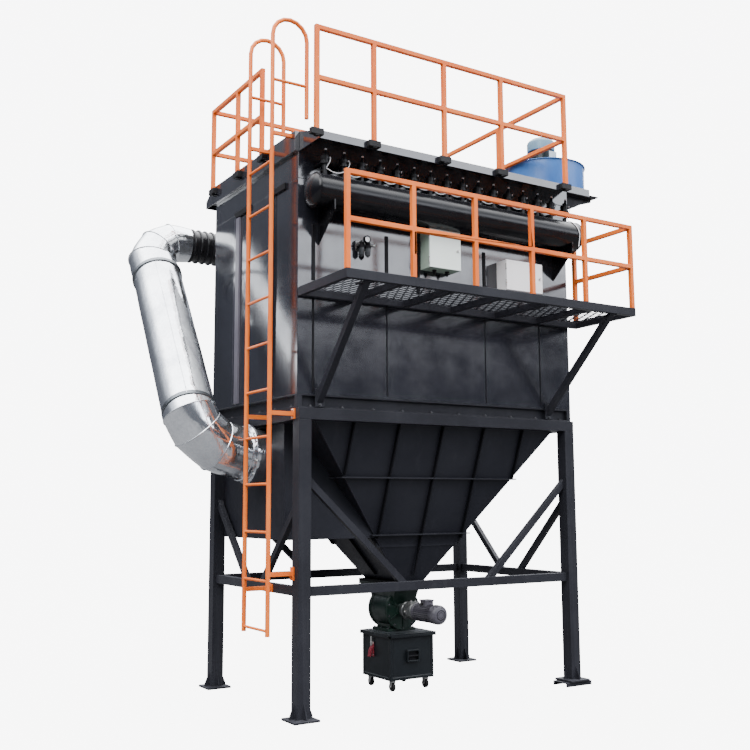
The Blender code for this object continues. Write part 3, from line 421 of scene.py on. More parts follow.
class Finish(Enum):
    """Every finish on the collector, with the record's slot that it belongs to."""

    FRAME = (Paint("frame_paint", (0.0145, 0.0147, 0.0185), (0.021, 0.0214, 0.0265),
                   (0.34, 0.50), dust=(0.09, 0.09, 0.10), dust_share=0.25, streaks=0.10,
                   level=0.12), "frame_paint")
    HOPPER = (Paint("hopper_paint", (0.0115, 0.0119, 0.0165), (0.017, 0.0175, 0.0225),
                    (0.40, 0.58), dust=(0.08, 0.08, 0.09), dust_share=0.15, streaks=0.08,
                    level=0.15), "frame_paint")
    # Near-black painted shade for the hopper's ribs, whose sides fall in shade.
    RIB = (Paint("hopper_rib_painted_shade", (0.0035, 0.0036, 0.005), (0.006, 0.0062, 0.008),
                 (0.5, 0.65), dust_share=0.05, streaks=0.0, level=0.1), "frame_paint")
    BODY = (Paint("body_paint", (0.010, 0.0104, 0.0145), (0.015, 0.0155, 0.021),
                  (0.11, 0.20), dust=(0.12, 0.125, 0.14), dust_share=0.3, streaks=0.12,
                  coat=0.45, level=0.8), "body_paint")
    # Black paint for black parts, also painted shade on the casing's ledges and seams and in the
    # fan's mouth.
    BLACK_AND_SHADE = (Paint("black_strip", (0.004, 0.004, 0.005), (0.007, 0.007, 0.009),
                  (0.5, 0.7), dust=(0.05, 0.05, 0.055), dust_share=0.2, streaks=0.05,
                  level=0.15), "body_paint")
    # Lighter lavender grey: painted reflection on the left wall's strip.
    STRIP = (Paint("strip_painted_reflection", (0.085, 0.080, 0.100), (0.115, 0.108, 0.130), (0.3, 0.45),
                   streaks=0.1), "body_paint")
    RAIL = (Paint("rail_paint", (0.63, 0.112, 0.009), (0.70, 0.160, 0.022),
                  (0.36, 0.55), dust=(0.66, 0.36, 0.20), dust_share=0.25, streaks=0.14,
                  chips=0.9, level=0.25), "rail_paint")
    SOCKET = (Paint("socket_paint", (0.006, 0.006, 0.007), (0.011, 0.011, 0.0125),
                    (0.4, 0.6), dust=(0.05, 0.05, 0.055), level=0.2), "rail_paint")
    ZINC = (Zinc("duct_zinc", (0.80, 0.82, 0.84), (0.44, 0.46, 0.50)), "duct_zinc")
    BAND = (Zinc("duct_band_zinc", (0.10, 0.11, 0.12), (0.20, 0.21, 0.22), (0.30, 0.5)),
            "duct_zinc")
    SLEEVE = (Plain("sleeve_rubber", (0.006, 0.006, 0.007), (0.013, 0.013, 0.015),
                    gloss=(0.24, 0.4), level=0.3), "duct_band")
    TANK = (Paint("tank_paint", (0.0022, 0.0022, 0.003), (0.004, 0.004, 0.0055),
                  (0.18, 0.30), dust=(0.10, 0.10, 0.11), dust_share=0.12, streaks=0.05,
                  coat=0.06, level=0.22), "body_paint")
    SOOT_VALVE = (Plain("valve_black", (0.004, 0.004, 0.005), (0.010, 0.010, 0.012),
                        gloss=(0.3, 0.5), level=0.3), "body_paint")
    FAN = (Paint("fan_blue", (0.022, 0.115, 0.37), (0.040, 0.16, 0.44), (0.28, 0.42),
                 dust=(0.30, 0.40, 0.55), streaks=0.12), "fan_paint")
    MOTOR = (Paint("motor_paint", (0.008, 0.019, 0.022), (0.014, 0.030, 0.033),
                   (0.35, 0.5), dust=(0.10, 0.11, 0.11)), "motor_paint")
    COWL = (Paint("cowl_paint", (0.085, 0.185, 0.265), (0.15, 0.26, 0.34), (0.35, 0.5)),
            "motor_paint")
    PALE = (Paint("lid_paint", (0.42, 0.48, 0.50), (0.50, 0.55, 0.57), (0.35, 0.5)), "motor_paint")
    DRIVE = (Paint("drive_paint", (0.048, 0.044, 0.056), (0.070, 0.066, 0.080), (0.35, 0.5)),
             "motor_paint")
    CABINET = (Paint("cabinet_coat", (0.80, 0.89, 0.82), (0.84, 0.91, 0.86), (0.38, 0.5),
                     dust=(0.45, 0.46, 0.42), dust_share=0.3, streaks=0.15), "cabinet_paint")
    # A darker copy of the cabinet's green: painted shade for the control cabinet's shell.
    CABINET_SHADED_SIDE = (Paint("cabinet_painted_shade_coat", (0.36, 0.46, 0.37), (0.42, 0.52, 0.43), (0.38, 0.5),
                          dust=(0.36, 0.38, 0.34), streaks=0.2), "cabinet_paint")
    PANEL = (Paint("panel_coat", (0.90, 0.87, 0.87), (0.92, 0.90, 0.90), (0.38, 0.5),
                   dust=(0.55, 0.53, 0.5), dust_share=0.3, streaks=0.15), "cabinet_paint")
    GREEN = (Plain("valve_green", (0.0025, 0.010, 0.0068), (0.0055, 0.018, 0.0125),
                   gloss=(0.28, 0.46), grain=0.5, grain_scale=90.0, level=0.3), "valve_paint")
    BIN = (Paint("bin_paint", (0.0075, 0.0095, 0.0115), (0.012, 0.015, 0.0175),
                 (0.34, 0.5), dust=(0.08, 0.09, 0.095), streaks=0.12, level=0.2), "bin_paint")
    GRIP = (Plain("latch_grip", (0.16, 0.014, 0.026), (0.22, 0.028, 0.04), level=0.3), "latch_grip")
    CAST = (Plain("gear_aluminium", (0.11, 0.115, 0.115), (0.32, 0.32, 0.31), 0.85,
                  (0.32, 0.55), 0.6, 70.0), "gear_aluminium")
    PLATED = (Plain("plated_steel", (0.50, 0.50, 0.49), (0.62, 0.61, 0.59), 0.95,
                    (0.2, 0.4)), "gear_aluminium")
    BOLT = (Plain("painted_bolt", (0.035, 0.036, 0.042), (0.08, 0.08, 0.085), 0.5,
                  (0.35, 0.5)), "frame_paint")
    RUBBER = (Plain("black_rubber", (0.008, 0.008, 0.008), (0.016, 0.016, 0.016),
                    gloss=(0.5, 0.75), level=0.2), "bin_paint")
    TUBE = (Plain("air_tube", (0.78, 0.79, 0.80), (0.68, 0.69, 0.70), gloss=(0.3, 0.45)),
            "air_tube")
    GLASS = (Plain("bowl_plastic", (0.03, 0.034, 0.038), (0.06, 0.065, 0.07), gloss=(0.06, 0.14),
                   grain=0.05), "gear_aluminium")

    @property
    def slot(self) -> str:
        """Return the record's slot for this finish."""
        return self.value[1]

    def material(self) -> Material:
        """Return the finish's material, built once."""
        spec = self.value[0]
        return bpy.data.materials.get(LOOK + spec.name) or spec.build()


# Mesh helpers


def hand_over(piece: Thing, finish: Finish, body: str = STEEL_BODY,
              stands_for: Iterable[str] = ()) -> None:
    """Put a piece on its body and the nodes that it stands for.

    Args:
        piece: The finished piece, with its place in its mesh.
        finish: The finish that the piece wears if it has no material yet.
        body: The body that it rides on.
        stands_for: Nodes that it replaces.
    """
    if not piece.data.materials:
        piece.data.materials.append(finish.material())
    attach(piece, body)
    names = list(stands_for)
    if names:
        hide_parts(*names)
    LOG.info("%s: %d faces on %s", piece.name, len(piece.data.polygons), body)


def new_object(name: str, data: bpy.types.ID) -> Thing:
    """Put an object in the scene.

    Args:
        name: The object's name.
        data: Its mesh, lamp or camera data.

    Returns:
        The object.
    """
    made = bpy.data.objects.new(name, data)
    bpy.context.scene.collection.objects.link(made)
    return made


def from_bmesh(name: str, bm: bmesh.types.BMesh, sharp: float = 30.0) -> Thing:
    """Turn a bmesh into an object with its faces outwards, shaded smooth.

    Args:
        name: The object's name.
        bm: The bmesh, which is used up.
        sharp: Edges over this angle become sharp.

    Returns:
        The object.
    """
    bm.normal_update()
    bmesh.ops.recalc_face_normals(bm, faces=bm.faces)
    if bm.calc_volume(signed=True) < 0.0:
        bmesh.ops.reverse_faces(bm, faces=bm.faces)
    mesh = bpy.data.meshes.new(name)
    bm.to_mesh(mesh)
    bm.free()
    mesh.shade_smooth()
    mesh.set_sharp_from_angle(angle=math.radians(sharp))
    return new_object(name, mesh)


def settled(piece: Thing, sharp: Optional[float] = 30.0) -> Thing:
    """Return the piece with its modifiers turned into plain mesh.

    Args:
        piece: The piece.
        sharp: Edges over this angle become sharp, or None to keep its shading.

    Returns:
        The plain piece.
    """
    graph = bpy.context.evaluated_depsgraph_get()
    mesh = bpy.data.meshes.new_from_object(piece.evaluated_get(graph))
    name = piece.name
    bpy.data.objects.remove(piece, do_unlink=True)
    mesh.name = name
    if sharp is not None:
        bm = bmesh.new()
        bm.from_mesh(mesh)
        bmesh.ops.recalc_face_normals(bm, faces=bm.faces)
        bm.to_mesh(mesh)
        bm.free()
        mesh.shade_smooth()
        mesh.set_sharp_from_angle(angle=math.radians(sharp))
    return new_object(name, mesh)


def node_bmesh(node: str) -> bmesh.types.BMesh:
    """Copy a CAD node's mesh, with its corners welded and its flat faces whole.

    Args:
        node: The CAD node.

    Returns:
        The copy.
    """
    source = frame["nodes"][node].data
    bm = bmesh.new()
    verts = [bm.verts.new(v.co) for v in source.vertices]
    for face in source.polygons:
        bm.faces.new([verts[i] for i in face.vertices])
    bmesh.ops.remove_doubles(bm, verts=bm.verts, dist=WELD)
    bmesh.ops.join_triangles(bm, faces=bm.faces, angle_face_threshold=FLAT,
                             angle_shape_threshold=math.pi)
    return bm


def softened(piece: Thing, width: float) -> Thing:
    """Round a piece's sharp edges, with its flat faces shaded flat.

    Args:
        piece: The piece.
        width: How far its edges are rounded.

    Returns:
        The rounded piece.
    """
    bevel = piece.modifiers.new("round", "BEVEL")
    bevel.width = width
    bevel.segments = 2
    bevel.limit_method = "ANGLE"
    bevel.angle_limit = ROUND_ANGLE
    bevel.use_clamp_overlap = True
    bevel.miter_outer = "MITER_ARC"
    bevel.harden_normals = True
    return settled(piece, None)


def dressed(node: str, finish: Finish, name: Optional[str] = None, width: float = 0.003,
            others: Sequence[tuple[Finish, Callable[[Vector], bool]]] = ()) -> None:
    """Hand over a finished copy of a CAD node with rounded edges, which stands for it.

    Args:
        node: The CAD node.
        finish: Its finish.
        name: The piece's name, or the node's name with "_skin".
        width: How far its edges are rounded, or 0.
        others: Other finishes, each with a test that picks its faces by their middle.
    """
    bm = node_bmesh(node)
    for place, (_, test) in enumerate(others, 1):
        for face in bm.faces:
            if test(face.calc_center_median()):
                face.material_index = place
    piece = from_bmesh(name or node + "_skin", bm)
    for used in [finish] + [second for second, _ in others]:
        piece.data.materials.append(used.material())
    if width:
        piece = softened(piece, width)
    body = frame["nodes"][node]["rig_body"]
    hand_over(piece, finish, body, [node])


# Shapes built from scratch


class Shape:
    """A mesh put together from blocks, turned profiles and tubes, measured on the plan."""

    def __init__(self) -> None:
        """Start an empty shape."""
        self.bm = bmesh.new()
        self.finishes: list[Finish] = []

    def paint(self, faces: Iterable[bmesh.types.BMFace], finish: Finish) -> None:
        """Give faces a finish.

        Args:
            faces: The faces.
            finish: Their finish.
        """
        if finish not in self.finishes:
            self.finishes.append(finish)
        for face in faces:
            face.material_index = self.finishes.index(finish)

    def since(self, count: int, finish: Finish) -> None:
        """Give a finish to the faces made since there were this many."""
        self.bm.faces.ensure_lookup_table()
        self.paint(self.bm.faces[count:], finish)

    def block(self, low: Point, high: Point, finish: Finish,
              turn: Optional[Matrix] = None) -> None:
        """Add a block between two corners.

        Args:
            low: Its low corner.
            high: Its high corner.
            finish: Its finish.
            turn: A turn about its own middle.
        """
        low, high = Vector(low), Vector(high)
        count = len(self.bm.faces)
        matrix = Matrix.Translation((low + high) / 2)
        if turn is not None:
            matrix = matrix @ turn.to_4x4()
        matrix = matrix @ Matrix.Diagonal((*(high - low), 1.0))
        bmesh.ops.create_cube(self.bm, size=1.0, matrix=matrix)
        self.since(count, finish)

    def turned(self, profile: Outline, origin: Point, axis: Point, finish: Finish,
               steps: int = 48, ring: bool = False) -> None:
        """Add a turned piece.

        Args:
            profile: (radius, height) points along its outline.
            origin: Where height is zero.
            axis: The way that height grows.
            finish: Its finish.
            steps: Sides round it.
            ring: Whether its outline closes on itself round a hole.
        """
        place = standing(origin, axis)
        count = len(self.bm.faces)
        rows = []
        for radius, height in profile:
            if radius < AXIS:
                rows.append([self.bm.verts.new(place @ Vector((0, 0, height)))])
                continue
            row = []
            for k in range(steps):
                angle = math.tau * k / steps
                spot = Vector((radius * math.cos(angle), radius * math.sin(angle), height))
                row.append(self.bm.verts.new(place @ spot))
            rows.append(row)
        pairs = list(zip(rows, rows[1:])) + ([(rows[-1], rows[0])] if ring else [])
        for first, second in pairs:
            for k in range(steps):
                a, b = first[k % len(first)], first[(k + 1) % len(first)]
                c, d = second[(k + 1) % len(second)], second[k % len(second)]
                corners = [v for i, v in enumerate((a, b, c, d)) if v not in (a, b, c, d)[:i]]
                if len(corners) > 2:
                    self.bm.faces.new(corners)
        for row, flip in ((rows[0], True), (rows[-1], False)):
            if len(row) > 2 and not ring:
                self.bm.faces.new(row[::-1] if flip else row)
        self.since(count, finish)

    def prism(self, near: Sequence[Point], far: Sequence[Point], finish: Finish) -> None:
        """Add a solid between two outlines.

        Args:
            near: The corners of one end.
            far: The corners of the other end, as many.
            finish: Its finish.
        """
        count = len(self.bm.faces)
        first, second = ([self.bm.verts.new(p) for p in row] for row in (near, far))
        self.bm.faces.new(first[::-1])
        self.bm.faces.new(second)
        for k in range(len(first)):
            n = (k + 1) % len(first)
            self.bm.faces.new((first[k], first[n], second[n], second[k]))
        self.since(count, finish)

    def bar(self, start: Point, end: Point, radius: float, finish: Finish,
            sides: int = 16) -> None:
        """Add a straight round bar.

        Args:
            start: Where it starts.
            end: Where it ends.
            radius: Its radius.
            finish: Its finish.
            sides: Sides round it.
        """
        way = (Vector(end) - Vector(start)).normalized()
        across = way.orthogonal().normalized()
        other = way.cross(across)
        rim = [across * a + other * b for a, b in circle_spots(sides, radius, 0.0)]
        self.prism([Vector(start) + r for r in rim], [Vector(end) + r for r in rim], finish)

    def drum(self, radius: float, low: float, high: float, origin: Point, axis: Point,
             finish: Finish, steps: int = 48) -> None:
        """Add a plain drum.

        Args:
            radius: Its radius.
            low: Where it starts on the axis.
            high: Where it ends.
            origin: Where the axis starts.
            axis: The way that it leads.
            finish: Its finish.
            steps: Sides round it.
        """
        profile = [(0, low), (radius, low), (radius, high), (0, high)]
        self.turned(profile, origin, axis, finish, steps)

    def taper(self, low_half: Point, low_z: float, high_half: Point, high_z: float,
              finish: Finish) -> None:
        """Add a block about the plan's middle whose half sizes change with height.

        Args:
            low_half: Its half sizes at the foot.
            low_z: The foot's height.
            high_half: Its half sizes at the top.
            high_z: The top's height.
            finish: Its finish.
        """
        rows = [[(sx * hx, sy * hy, z) for sx, sy in ((-1, -1), (1, -1), (1, 1), (-1, 1))]
                for (hx, hy), z in ((low_half, low_z), (high_half, high_z))]
        self.prism(*rows, finish)

    def plate(self, outline: Sequence[Point], push: Point, finish: Finish) -> None:
        """Add a flat plate.

        Args:
            outline: Its corners.
            push: The vector that gives it thickness.
            finish: Its finish.
        """
        self.prism(outline, [Vector(p) + Vector(push) for p in outline], finish)

    def piece(self, name: str, finish: Finish, width: float = 0.0, sharp: float = 30.0,
              body: str = STEEL_BODY, stands_for: Iterable[str] = ()) -> None:
        """Close the shape as a finished piece.

        Args:
            name: The piece's name.
            finish: The finish that it wears if the shape has none of its own.
            width: How far its edges are rounded, or 0.
            sharp: Edges over this angle stay sharp.
            body: The body that it rides on.
            stands_for: Nodes that it replaces.
        """
        bmesh.ops.translate(self.bm, verts=self.bm.verts, vec=Plan.middle)
        made = from_bmesh(name, self.bm, sharp)
        for used in self.finishes:
            made.data.materials.append(used.material())
        if width:
            made = softened(made, width)
        hand_over(made, finish, body, stands_for)


def square_hoop(inner: float, outer: float, low: float, high: float) -> Outline:
    """Return the outline of a square hoop between two radii and two heights."""
    return [(inner, low), (outer, low), (outer, high), (inner, high)]


def circle_spots(count: int, radius: float, shift: float = 0.5) -> list[Pair]:
    """Spread points over a circle.

    Args:
        count: How many there are.
        radius: The circle's radius.
        shift: The first one's turn, in steps.

    Returns:
        Their places across and up.
    """
    angles = [math.tau * (k + shift) / count for k in range(count)]
    return [(radius * math.cos(a), radius * math.sin(a)) for a in angles]


def standing(origin: Point, axis: Point) -> Matrix:
    """Return the matrix that stands local +Z along an axis at an origin."""
    turn = Vector((0, 0, 1)).rotation_difference(Vector(axis)).to_matrix().to_4x4()
    return Matrix.Translation(origin) @ turn


# Geometry Nodes


class Growth(NodeTree):
    """A Geometry Nodes tree with named inputs that grows a piece from a start mesh."""

    def __init__(self, name: str, finish: Finish) -> None:
        """Start the tree.

        Args:
            name: The tree's name.
            finish: The finish of what it grows.
        """
        self.finish = finish
        self.tree = bpy.data.node_groups.new(name, "GeometryNodeTree")
        self.nodes, self.links = self.tree.nodes, self.tree.links
        for way in ("INPUT", "OUTPUT"):
            self.tree.interface.new_socket("Geometry", in_out=way, socket_type="NodeSocketGeometry")
        self.start = self.nodes.new("NodeGroupInput")
        self.end = self.nodes.new("NodeGroupOutput")
        self.values: dict[str, float] = {}

    @property
    def base(self) -> Socket:
        """Return the start mesh."""
        return self.start.outputs["Geometry"]

    def size(self, name: str, value: float) -> Socket:
        """Add a named input.

        Args:
            name: Its name.
            value: Its value.

        Returns:
            Its socket.
        """
        kind = "NodeSocketInt" if isinstance(value, int) else "NodeSocketFloat"
        item = self.tree.interface.new_socket(name, in_out="INPUT", socket_type=kind)
        self.values[item.identifier] = value
        return self.start.outputs[name]

    def vector(self, x: object = 0.0, y: object = 0.0, z: object = 0.0) -> Socket:
        """Return a vector put together from three numbers."""
        return self.node("ShaderNodeCombineXYZ", X=x, Y=y, Z=z)

    def named(self, name: str, kind: str = "FLOAT_VECTOR") -> Socket:
        """Return an attribute of the start mesh."""
        return self.node("GeometryNodeInputNamedAttribute", {"data_type": kind}, "Attribute",
                         Name=name)

    def chance(self, low: float, high: float, seed: int) -> Socket:
        """Return a random number for each element, from a fixed seed."""
        return self.node("FunctionNodeRandomValue", {"data_type": "FLOAT"}, 1,
                         i2=low, i3=high, Seed=seed)

    def drum(self, radius: object, depth: object, base: object, sides: int) -> Socket:
        """Make a cylinder.

        Args:
            radius: Its radius.
            depth: Its length.
            base: The height that it stands on.
            sides: Sides round it.

        Returns:
            Its mesh.
        """
        mesh = self.node("GeometryNodeMeshCylinder", None, "Mesh", Vertices=sides,
                         Radius=radius, Depth=depth)
        middle = self.math("ADD", self.math("MULTIPLY", depth, 0.5), base)
        return self.moved(mesh, self.vector(z=middle))

    def moved(self, mesh: Socket, by: object) -> Socket:
        """Return geometry moved by a vector."""
        return self.node("GeometryNodeTransform", Geometry=mesh, Translation=by)

    def joined(self, *meshes: Socket) -> Socket:
        """Join geometries.

        Args:
            *meshes: The geometries.

        Returns:
            All of them as one.
        """
        join = self.nodes.new("GeometryNodeJoinGeometry")
        for mesh in meshes:
            self.links.new(mesh, join.inputs[0])
        return join.outputs[0]

    def facing(self, way: object, spin: object = None) -> Socket:
        """Turn +Z along a vector.

        Args:
            way: The vector.
            spin: A turn about +Z before that.

        Returns:
            The rotation.
        """
        turn = self.node("FunctionNodeAlignRotationToVector", {"axis": "Z"}, Vector=way)
        if spin is None:
            return turn
        own = self.node("FunctionNodeAxisAngleToRotation", Axis=(0, 0, 1), Angle=spin)
        return self.node("FunctionNodeRotateRotation", {"rotation_space": "LOCAL"},
                         Rotation=turn, Rotate_By=own)

    def placed(self, points: Socket, thing: Socket,
               rotation: object = None, scale: object = None) -> Socket:
        """Place a thing on every point.

        Args:
            points: The points.
            thing: What stands on them.
            rotation: How it is turned there.
            scale: How large it is there.

        Returns:
            The placed things.
        """
        extra = {}
        if rotation is not None:
            extra["Rotation"] = rotation
        if scale is not None:
            extra["Scale"] = scale
        return self.node("GeometryNodeInstanceOnPoints", Points=points, Instance=thing, **extra)

    def swept(self, curve: Socket, radius: object, sides: object,
              scale: object = 1.0, caps: bool = True) -> Socket:
        """Sweep a round tube.

        Args:
            curve: What it follows.
            radius: Its radius.
            sides: Sides round it.
            scale: What its radius is scaled by at each point.
            caps: Whether its ends are closed.

        Returns:
            Its mesh.
        """
        ring = self.node("GeometryNodeCurvePrimitiveCircle", Resolution=sides, Radius=radius)
        return self.node("GeometryNodeCurveToMesh", Curve=curve, Profile_Curve=ring,
                         Scale=scale, Fill_Caps=caps)

    def grow(self, name: str, result: Socket, base: bpy.types.Mesh,
             sharp: float = 30.0, body: str = STEEL_BODY,
             stands_for: Iterable[str] = ()) -> None:
        """Close the tree and grow the piece.

        Args:
            name: The piece's name.
            result: What the tree makes.
            base: The start mesh, in frame coordinates.
            sharp: Edges over this angle stay sharp.
            body: The body that the piece rides on.
            stands_for: Nodes that it replaces.
        """
        real = self.node("GeometryNodeRealizeInstances", Geometry=result)
        worn = self.node("GeometryNodeSetMaterial", Geometry=real, Material=self.finish.material())
        self.links.new(worn, self.end.inputs["Geometry"])
        grown = new_object(name, base)
        modifier = grown.modifiers.new("grow", "NODES")
        modifier.node_group = self.tree
        for identifier, value in self.values.items():
            modifier[identifier] = value
        hand_over(settled(grown, sharp), self.finish, body, stands_for)


def points_mesh(points: Sequence[Point], ways: Optional[Sequence[Point]] = None,
                girths: Optional[Sequence[float]] = None,
                linked: bool = False) -> bpy.types.Mesh:
    """Return a mesh of loose or linked points for a tree to grow on.

    Args:
        points: Points on the plan.
        ways: The way that each one faces, kept as the attribute "way".
        girths: A radius for each one, kept as the attribute "girth".
        linked: Whether edges join them in their order.

    Returns:
        The mesh, in frame coordinates.
    """
    mesh = bpy.data.meshes.new("points")
    edges = [(k, k + 1) for k in range(len(points) - 1)] if linked else []
    mesh.from_pydata([Plan.at(*p) for p in points], edges, [])
    if ways is not None:
        layer = mesh.attributes.new("way", "FLOAT_VECTOR", "POINT")
        for item, way in zip(layer.data, ways):
            item.vector = way
    if girths is not None:
        layer = mesh.attributes.new("girth", "FLOAT", "POINT")
        for item, girth in zip(layer.data, girths):
            item.value = girth
    return mesh


def paths_mesh(paths: Sequence[Sequence[Point]]) -> bpy.types.Mesh:
    """Return one mesh with the edges of several paths.

    Args:
        paths: Points on the plan for each path.

    Returns:
        The mesh, in frame coordinates.
    """
    bm = bmesh.new()
    for path in paths:
        bm.from_mesh(points_mesh(path, linked=True))
    base = bpy.data.meshes.new("paths")
    bm.to_mesh(base)
    bm.free()
    return base


@dataclass
class HexBolts:
    """Hexagon bolts with washers, one on each point, each turned by chance."""

    radius: float = 0.011
    head: float = 0.009
    stud: float = 0.006
    seed: int = 7

    def build(self, name: str, points: Sequence[Point], ways: Sequence[Point],
              finish: Finish = Finish.PLATED) -> None:
        """Grow a bolt on every point.

        Args:
            name: The piece's name.
            points: Where the bolts sit, on the plan.
            ways: The way that each one faces.
            finish: Their finish.
        """
        g = Growth("hex_bolts", finish)
        radius, head = g.size("Head radius", self.radius), g.size("Head height", self.head)
        stud = g.size("Stud", self.stud)
        washer = g.drum(g.math("MULTIPLY", radius, 1.35), g.math("MULTIPLY", head, 0.25), 0.0, 20)
        cap = g.drum(radius, head, 0.0, 6)
        end = g.drum(g.math("MULTIPLY", radius, 0.5), stud, head, 12)
        turn = g.facing(g.named("way"), g.chance(0.0, 1.0, self.seed))
        bolts = g.placed(g.base, g.joined(washer, cap, end), turn)
        g.grow(name, bolts, points_mesh(points, ways))


@dataclass
class WeldBead:
    """A rippled bead of weld along a path."""

    radius: float = 0.005
    step: float = 0.009
    ripple: float = 0.25
    seed: int = 3

    def build(self, name: str, paths: Sequence[Sequence[Point]], finish: Finish) -> None:
        """Grow a bead along every path.

        Args:
            name: The piece's name.
            paths: Points on the plan for each path.
            finish: Its finish.
        """
        g = Growth("weld_bead", finish)
        radius, step = g.size("Bead radius", self.radius), g.size("Ripple length", self.step)
        ripple = g.size("Ripple", self.ripple)
        curve = g.node("GeometryNodeMeshToCurve", Mesh=g.base)
        curve = g.node("GeometryNodeResampleCurve", {"mode": "LENGTH"}, Curve=curve, Length=step)
        swell = g.math("MULTIPLY", g.chance(-1.0, 1.0, self.seed), ripple)
        girth = g.math("MULTIPLY", radius, g.math("ADD", swell, 1.0))
        g.grow(name, g.swept(curve, 1.0, 6, girth), paths_mesh(paths), 60.0)


@dataclass
class RoundBars:
    """Rings of round wire, one on each point, with the point's own girth."""

    wire: float = 0.005
    sides: int = 48

    def build(self, name: str, points: Sequence[Point], ways: Sequence[Point],
              girths: Sequence[float], finish: Finish) -> None:
        """Grow a ring on every point.

        Args:
            name: The piece's name.
            points: The rings' middles, on the plan.
            ways: What each ring is square to.
            girths: Each ring's radius.
            finish: Their finish.
        """
        g = Growth("round_bars", finish)
        wire = g.size("Wire radius", self.wire)
        hoop = g.node("GeometryNodeCurvePrimitiveCircle", Resolution=self.sides, Radius=1.0)
        hoops = g.placed(g.base, hoop, g.facing(g.named("way")), g.named("girth", "FLOAT"))
        real = g.node("GeometryNodeRealizeInstances", Geometry=hoops)
        g.grow(name, g.swept(real, wire, 8), points_mesh(points, ways, girths), 60.0)


# Stage


@dataclass
class Studio:
    """Pale floor, soft light and the camera at the photograph's angle."""

    eye: Triple = (-5.378, -8.284, 1.768)
    yaw: float = 31.985
    pitch: float = 7.478
    roll: float = -0.269
    focal_px: float = 978.4
    image_px: float = 750.0
    sensor: float = 36.0
    floor_half: float = 60.0
    floor_glow: float = 7.5
    strength: float = 10.0
    dark: Colour = (0.012, 0.013, 0.016)
    middle: Colour = (0.17, 0.18, 0.20)
    zenith: Colour = (0.85, 0.86, 0.88)
    panel: Colour = (0.62, 0.645, 0.70)
    backdrop: Colour = (0.80, 0.80, 0.81)
    dusk: Pair = (0.20, 0.44)
    noon: Pair = (0.50, 0.80)
    rear_turn: Pair = (0.1, -0.5)
    rear_rise: Pair = (0.3, 0.6)
    rear_share: float = 0.85
    panel_turn: Triple = (36.0, 22.0, 8.0)
    panel_foot: Pair = (0.19, 0.215)
    panel_head: Pair = (0.34, 0.48)

    def camera(self) -> None:
        """Place the camera from its yaw, pitch and roll."""
        yaw, pitch, roll = (math.radians(a) for a in (self.yaw, self.pitch, self.roll))
        level = math.cos(pitch)
        ahead = Vector((math.sin(yaw) * level, math.cos(yaw) * level, math.sin(pitch)))
        right = Vector((math.cos(yaw), -math.sin(yaw), 0.0))
        up = right.cross(ahead)
        turned_right = right * math.cos(roll) + up * math.sin(roll)
        turned_up = up * math.cos(roll) - right * math.sin(roll)
        data = bpy.data.cameras.new("photo_camera")
        data.sensor_width = self.sensor
        data.lens = self.focal_px * self.sensor / self.image_px
        data.clip_end = 500.0
        camera = new_object("photo_camera", data)
        turn = Matrix((turned_right, turned_up, -ahead)).transposed().to_4x4()
        camera.matrix_world = Matrix.Translation(Plan.at(*self.eye)) @ turn
        bpy.context.scene.camera = camera

    def floor(self) -> None:
        """Lay the pale floor."""
        bm = bmesh.new()
        bmesh.ops.create_grid(bm, x_segments=1, y_segments=1, size=self.floor_half)
        floor = from_bmesh("studio_floor", bm)
        t = ShaderTree("studio_floor")
        floor.data.materials.append(t.close((0.10, 0.10, 0.102), 0.0, 0.9, None, level=0.0))
        seen = t.node("ShaderNodeLightPath", None, "Is Camera Ray")
        t.shader.inputs["Emission Color"].default_value = (1.0, 1.0, 1.0, 1.0)
        t.feed(t.shader.inputs["Emission Strength"], t.math("MULTIPLY", seen, self.floor_glow))

    def sky(self) -> None:
        """Light the object from a soft sky: dark round the horizon, bright overhead."""
        world = bpy.data.worlds.new("soft_sky")
        bpy.context.scene.world = world
        t = SkyTree(world)
        base = t.blend(t.spread(t.rise, *self.dusk), self.dark, self.middle)
        base = t.blend(t.spread(t.rise, *self.noon), base, self.zenith)
        front = t.math("MULTIPLY", t.window(*self.panel_turn), t.spread(t.rise, *self.panel_foot))
        front = t.math("MULTIPLY", front, t.spread(t.rise, *self.panel_head, 1.0, 0.0))
        base = t.blend(front, base, self.panel)
        behind = t.spread(t.ahead, *self.rear_turn)
        rear = t.math("MULTIPLY", behind, t.spread(t.rise, *self.rear_rise, 1.0, 0.0))
        base = t.blend(t.math("MULTIPLY", rear, self.rear_share), base, self.dark)
        seen = t.node("ShaderNodeLightPath", None, "Is Camera Ray")
        back = world.node_tree.nodes["Background"]
        t.feed(back.inputs["Color"], t.blend(seen, base, self.backdrop))
        back.inputs["Strength"].default_value = self.strength

    def lamp(self, name: str, at: Point, aim: Point, size: float, power: float) -> None:
        """Hang a soft square lamp.

        Args:
            name: The lamp's name.
            at: Its place, from the plan's middle.
            aim: What it points at.
            size: Its side.
            power: Its power in watts.
        """
        data = bpy.data.lights.new(name, "AREA")
        data.shape, data.size, data.energy = "SQUARE", size, power
        lamp = new_object(name, data)
        lamp.location = Plan.at(*at)
        way = Plan.at(*aim) - lamp.location
        lamp.rotation_mode = "QUATERNION"
        lamp.rotation_quaternion = way.to_track_quat("-Z", "Y")

    def build(self) -> None:
        """Set up the whole studio."""
        self.camera()
        self.floor()
        self.sky()
        self.lamp("key_lamp", (-9.0, -9.0, 12.0), (0.0, 0.0, 3.0), 7.0, 1500.0)
        self.lamp("rim_lamp", (10.0, 6.0, 9.0), (0.0, 0.0, 3.5), 6.0, 700.0)


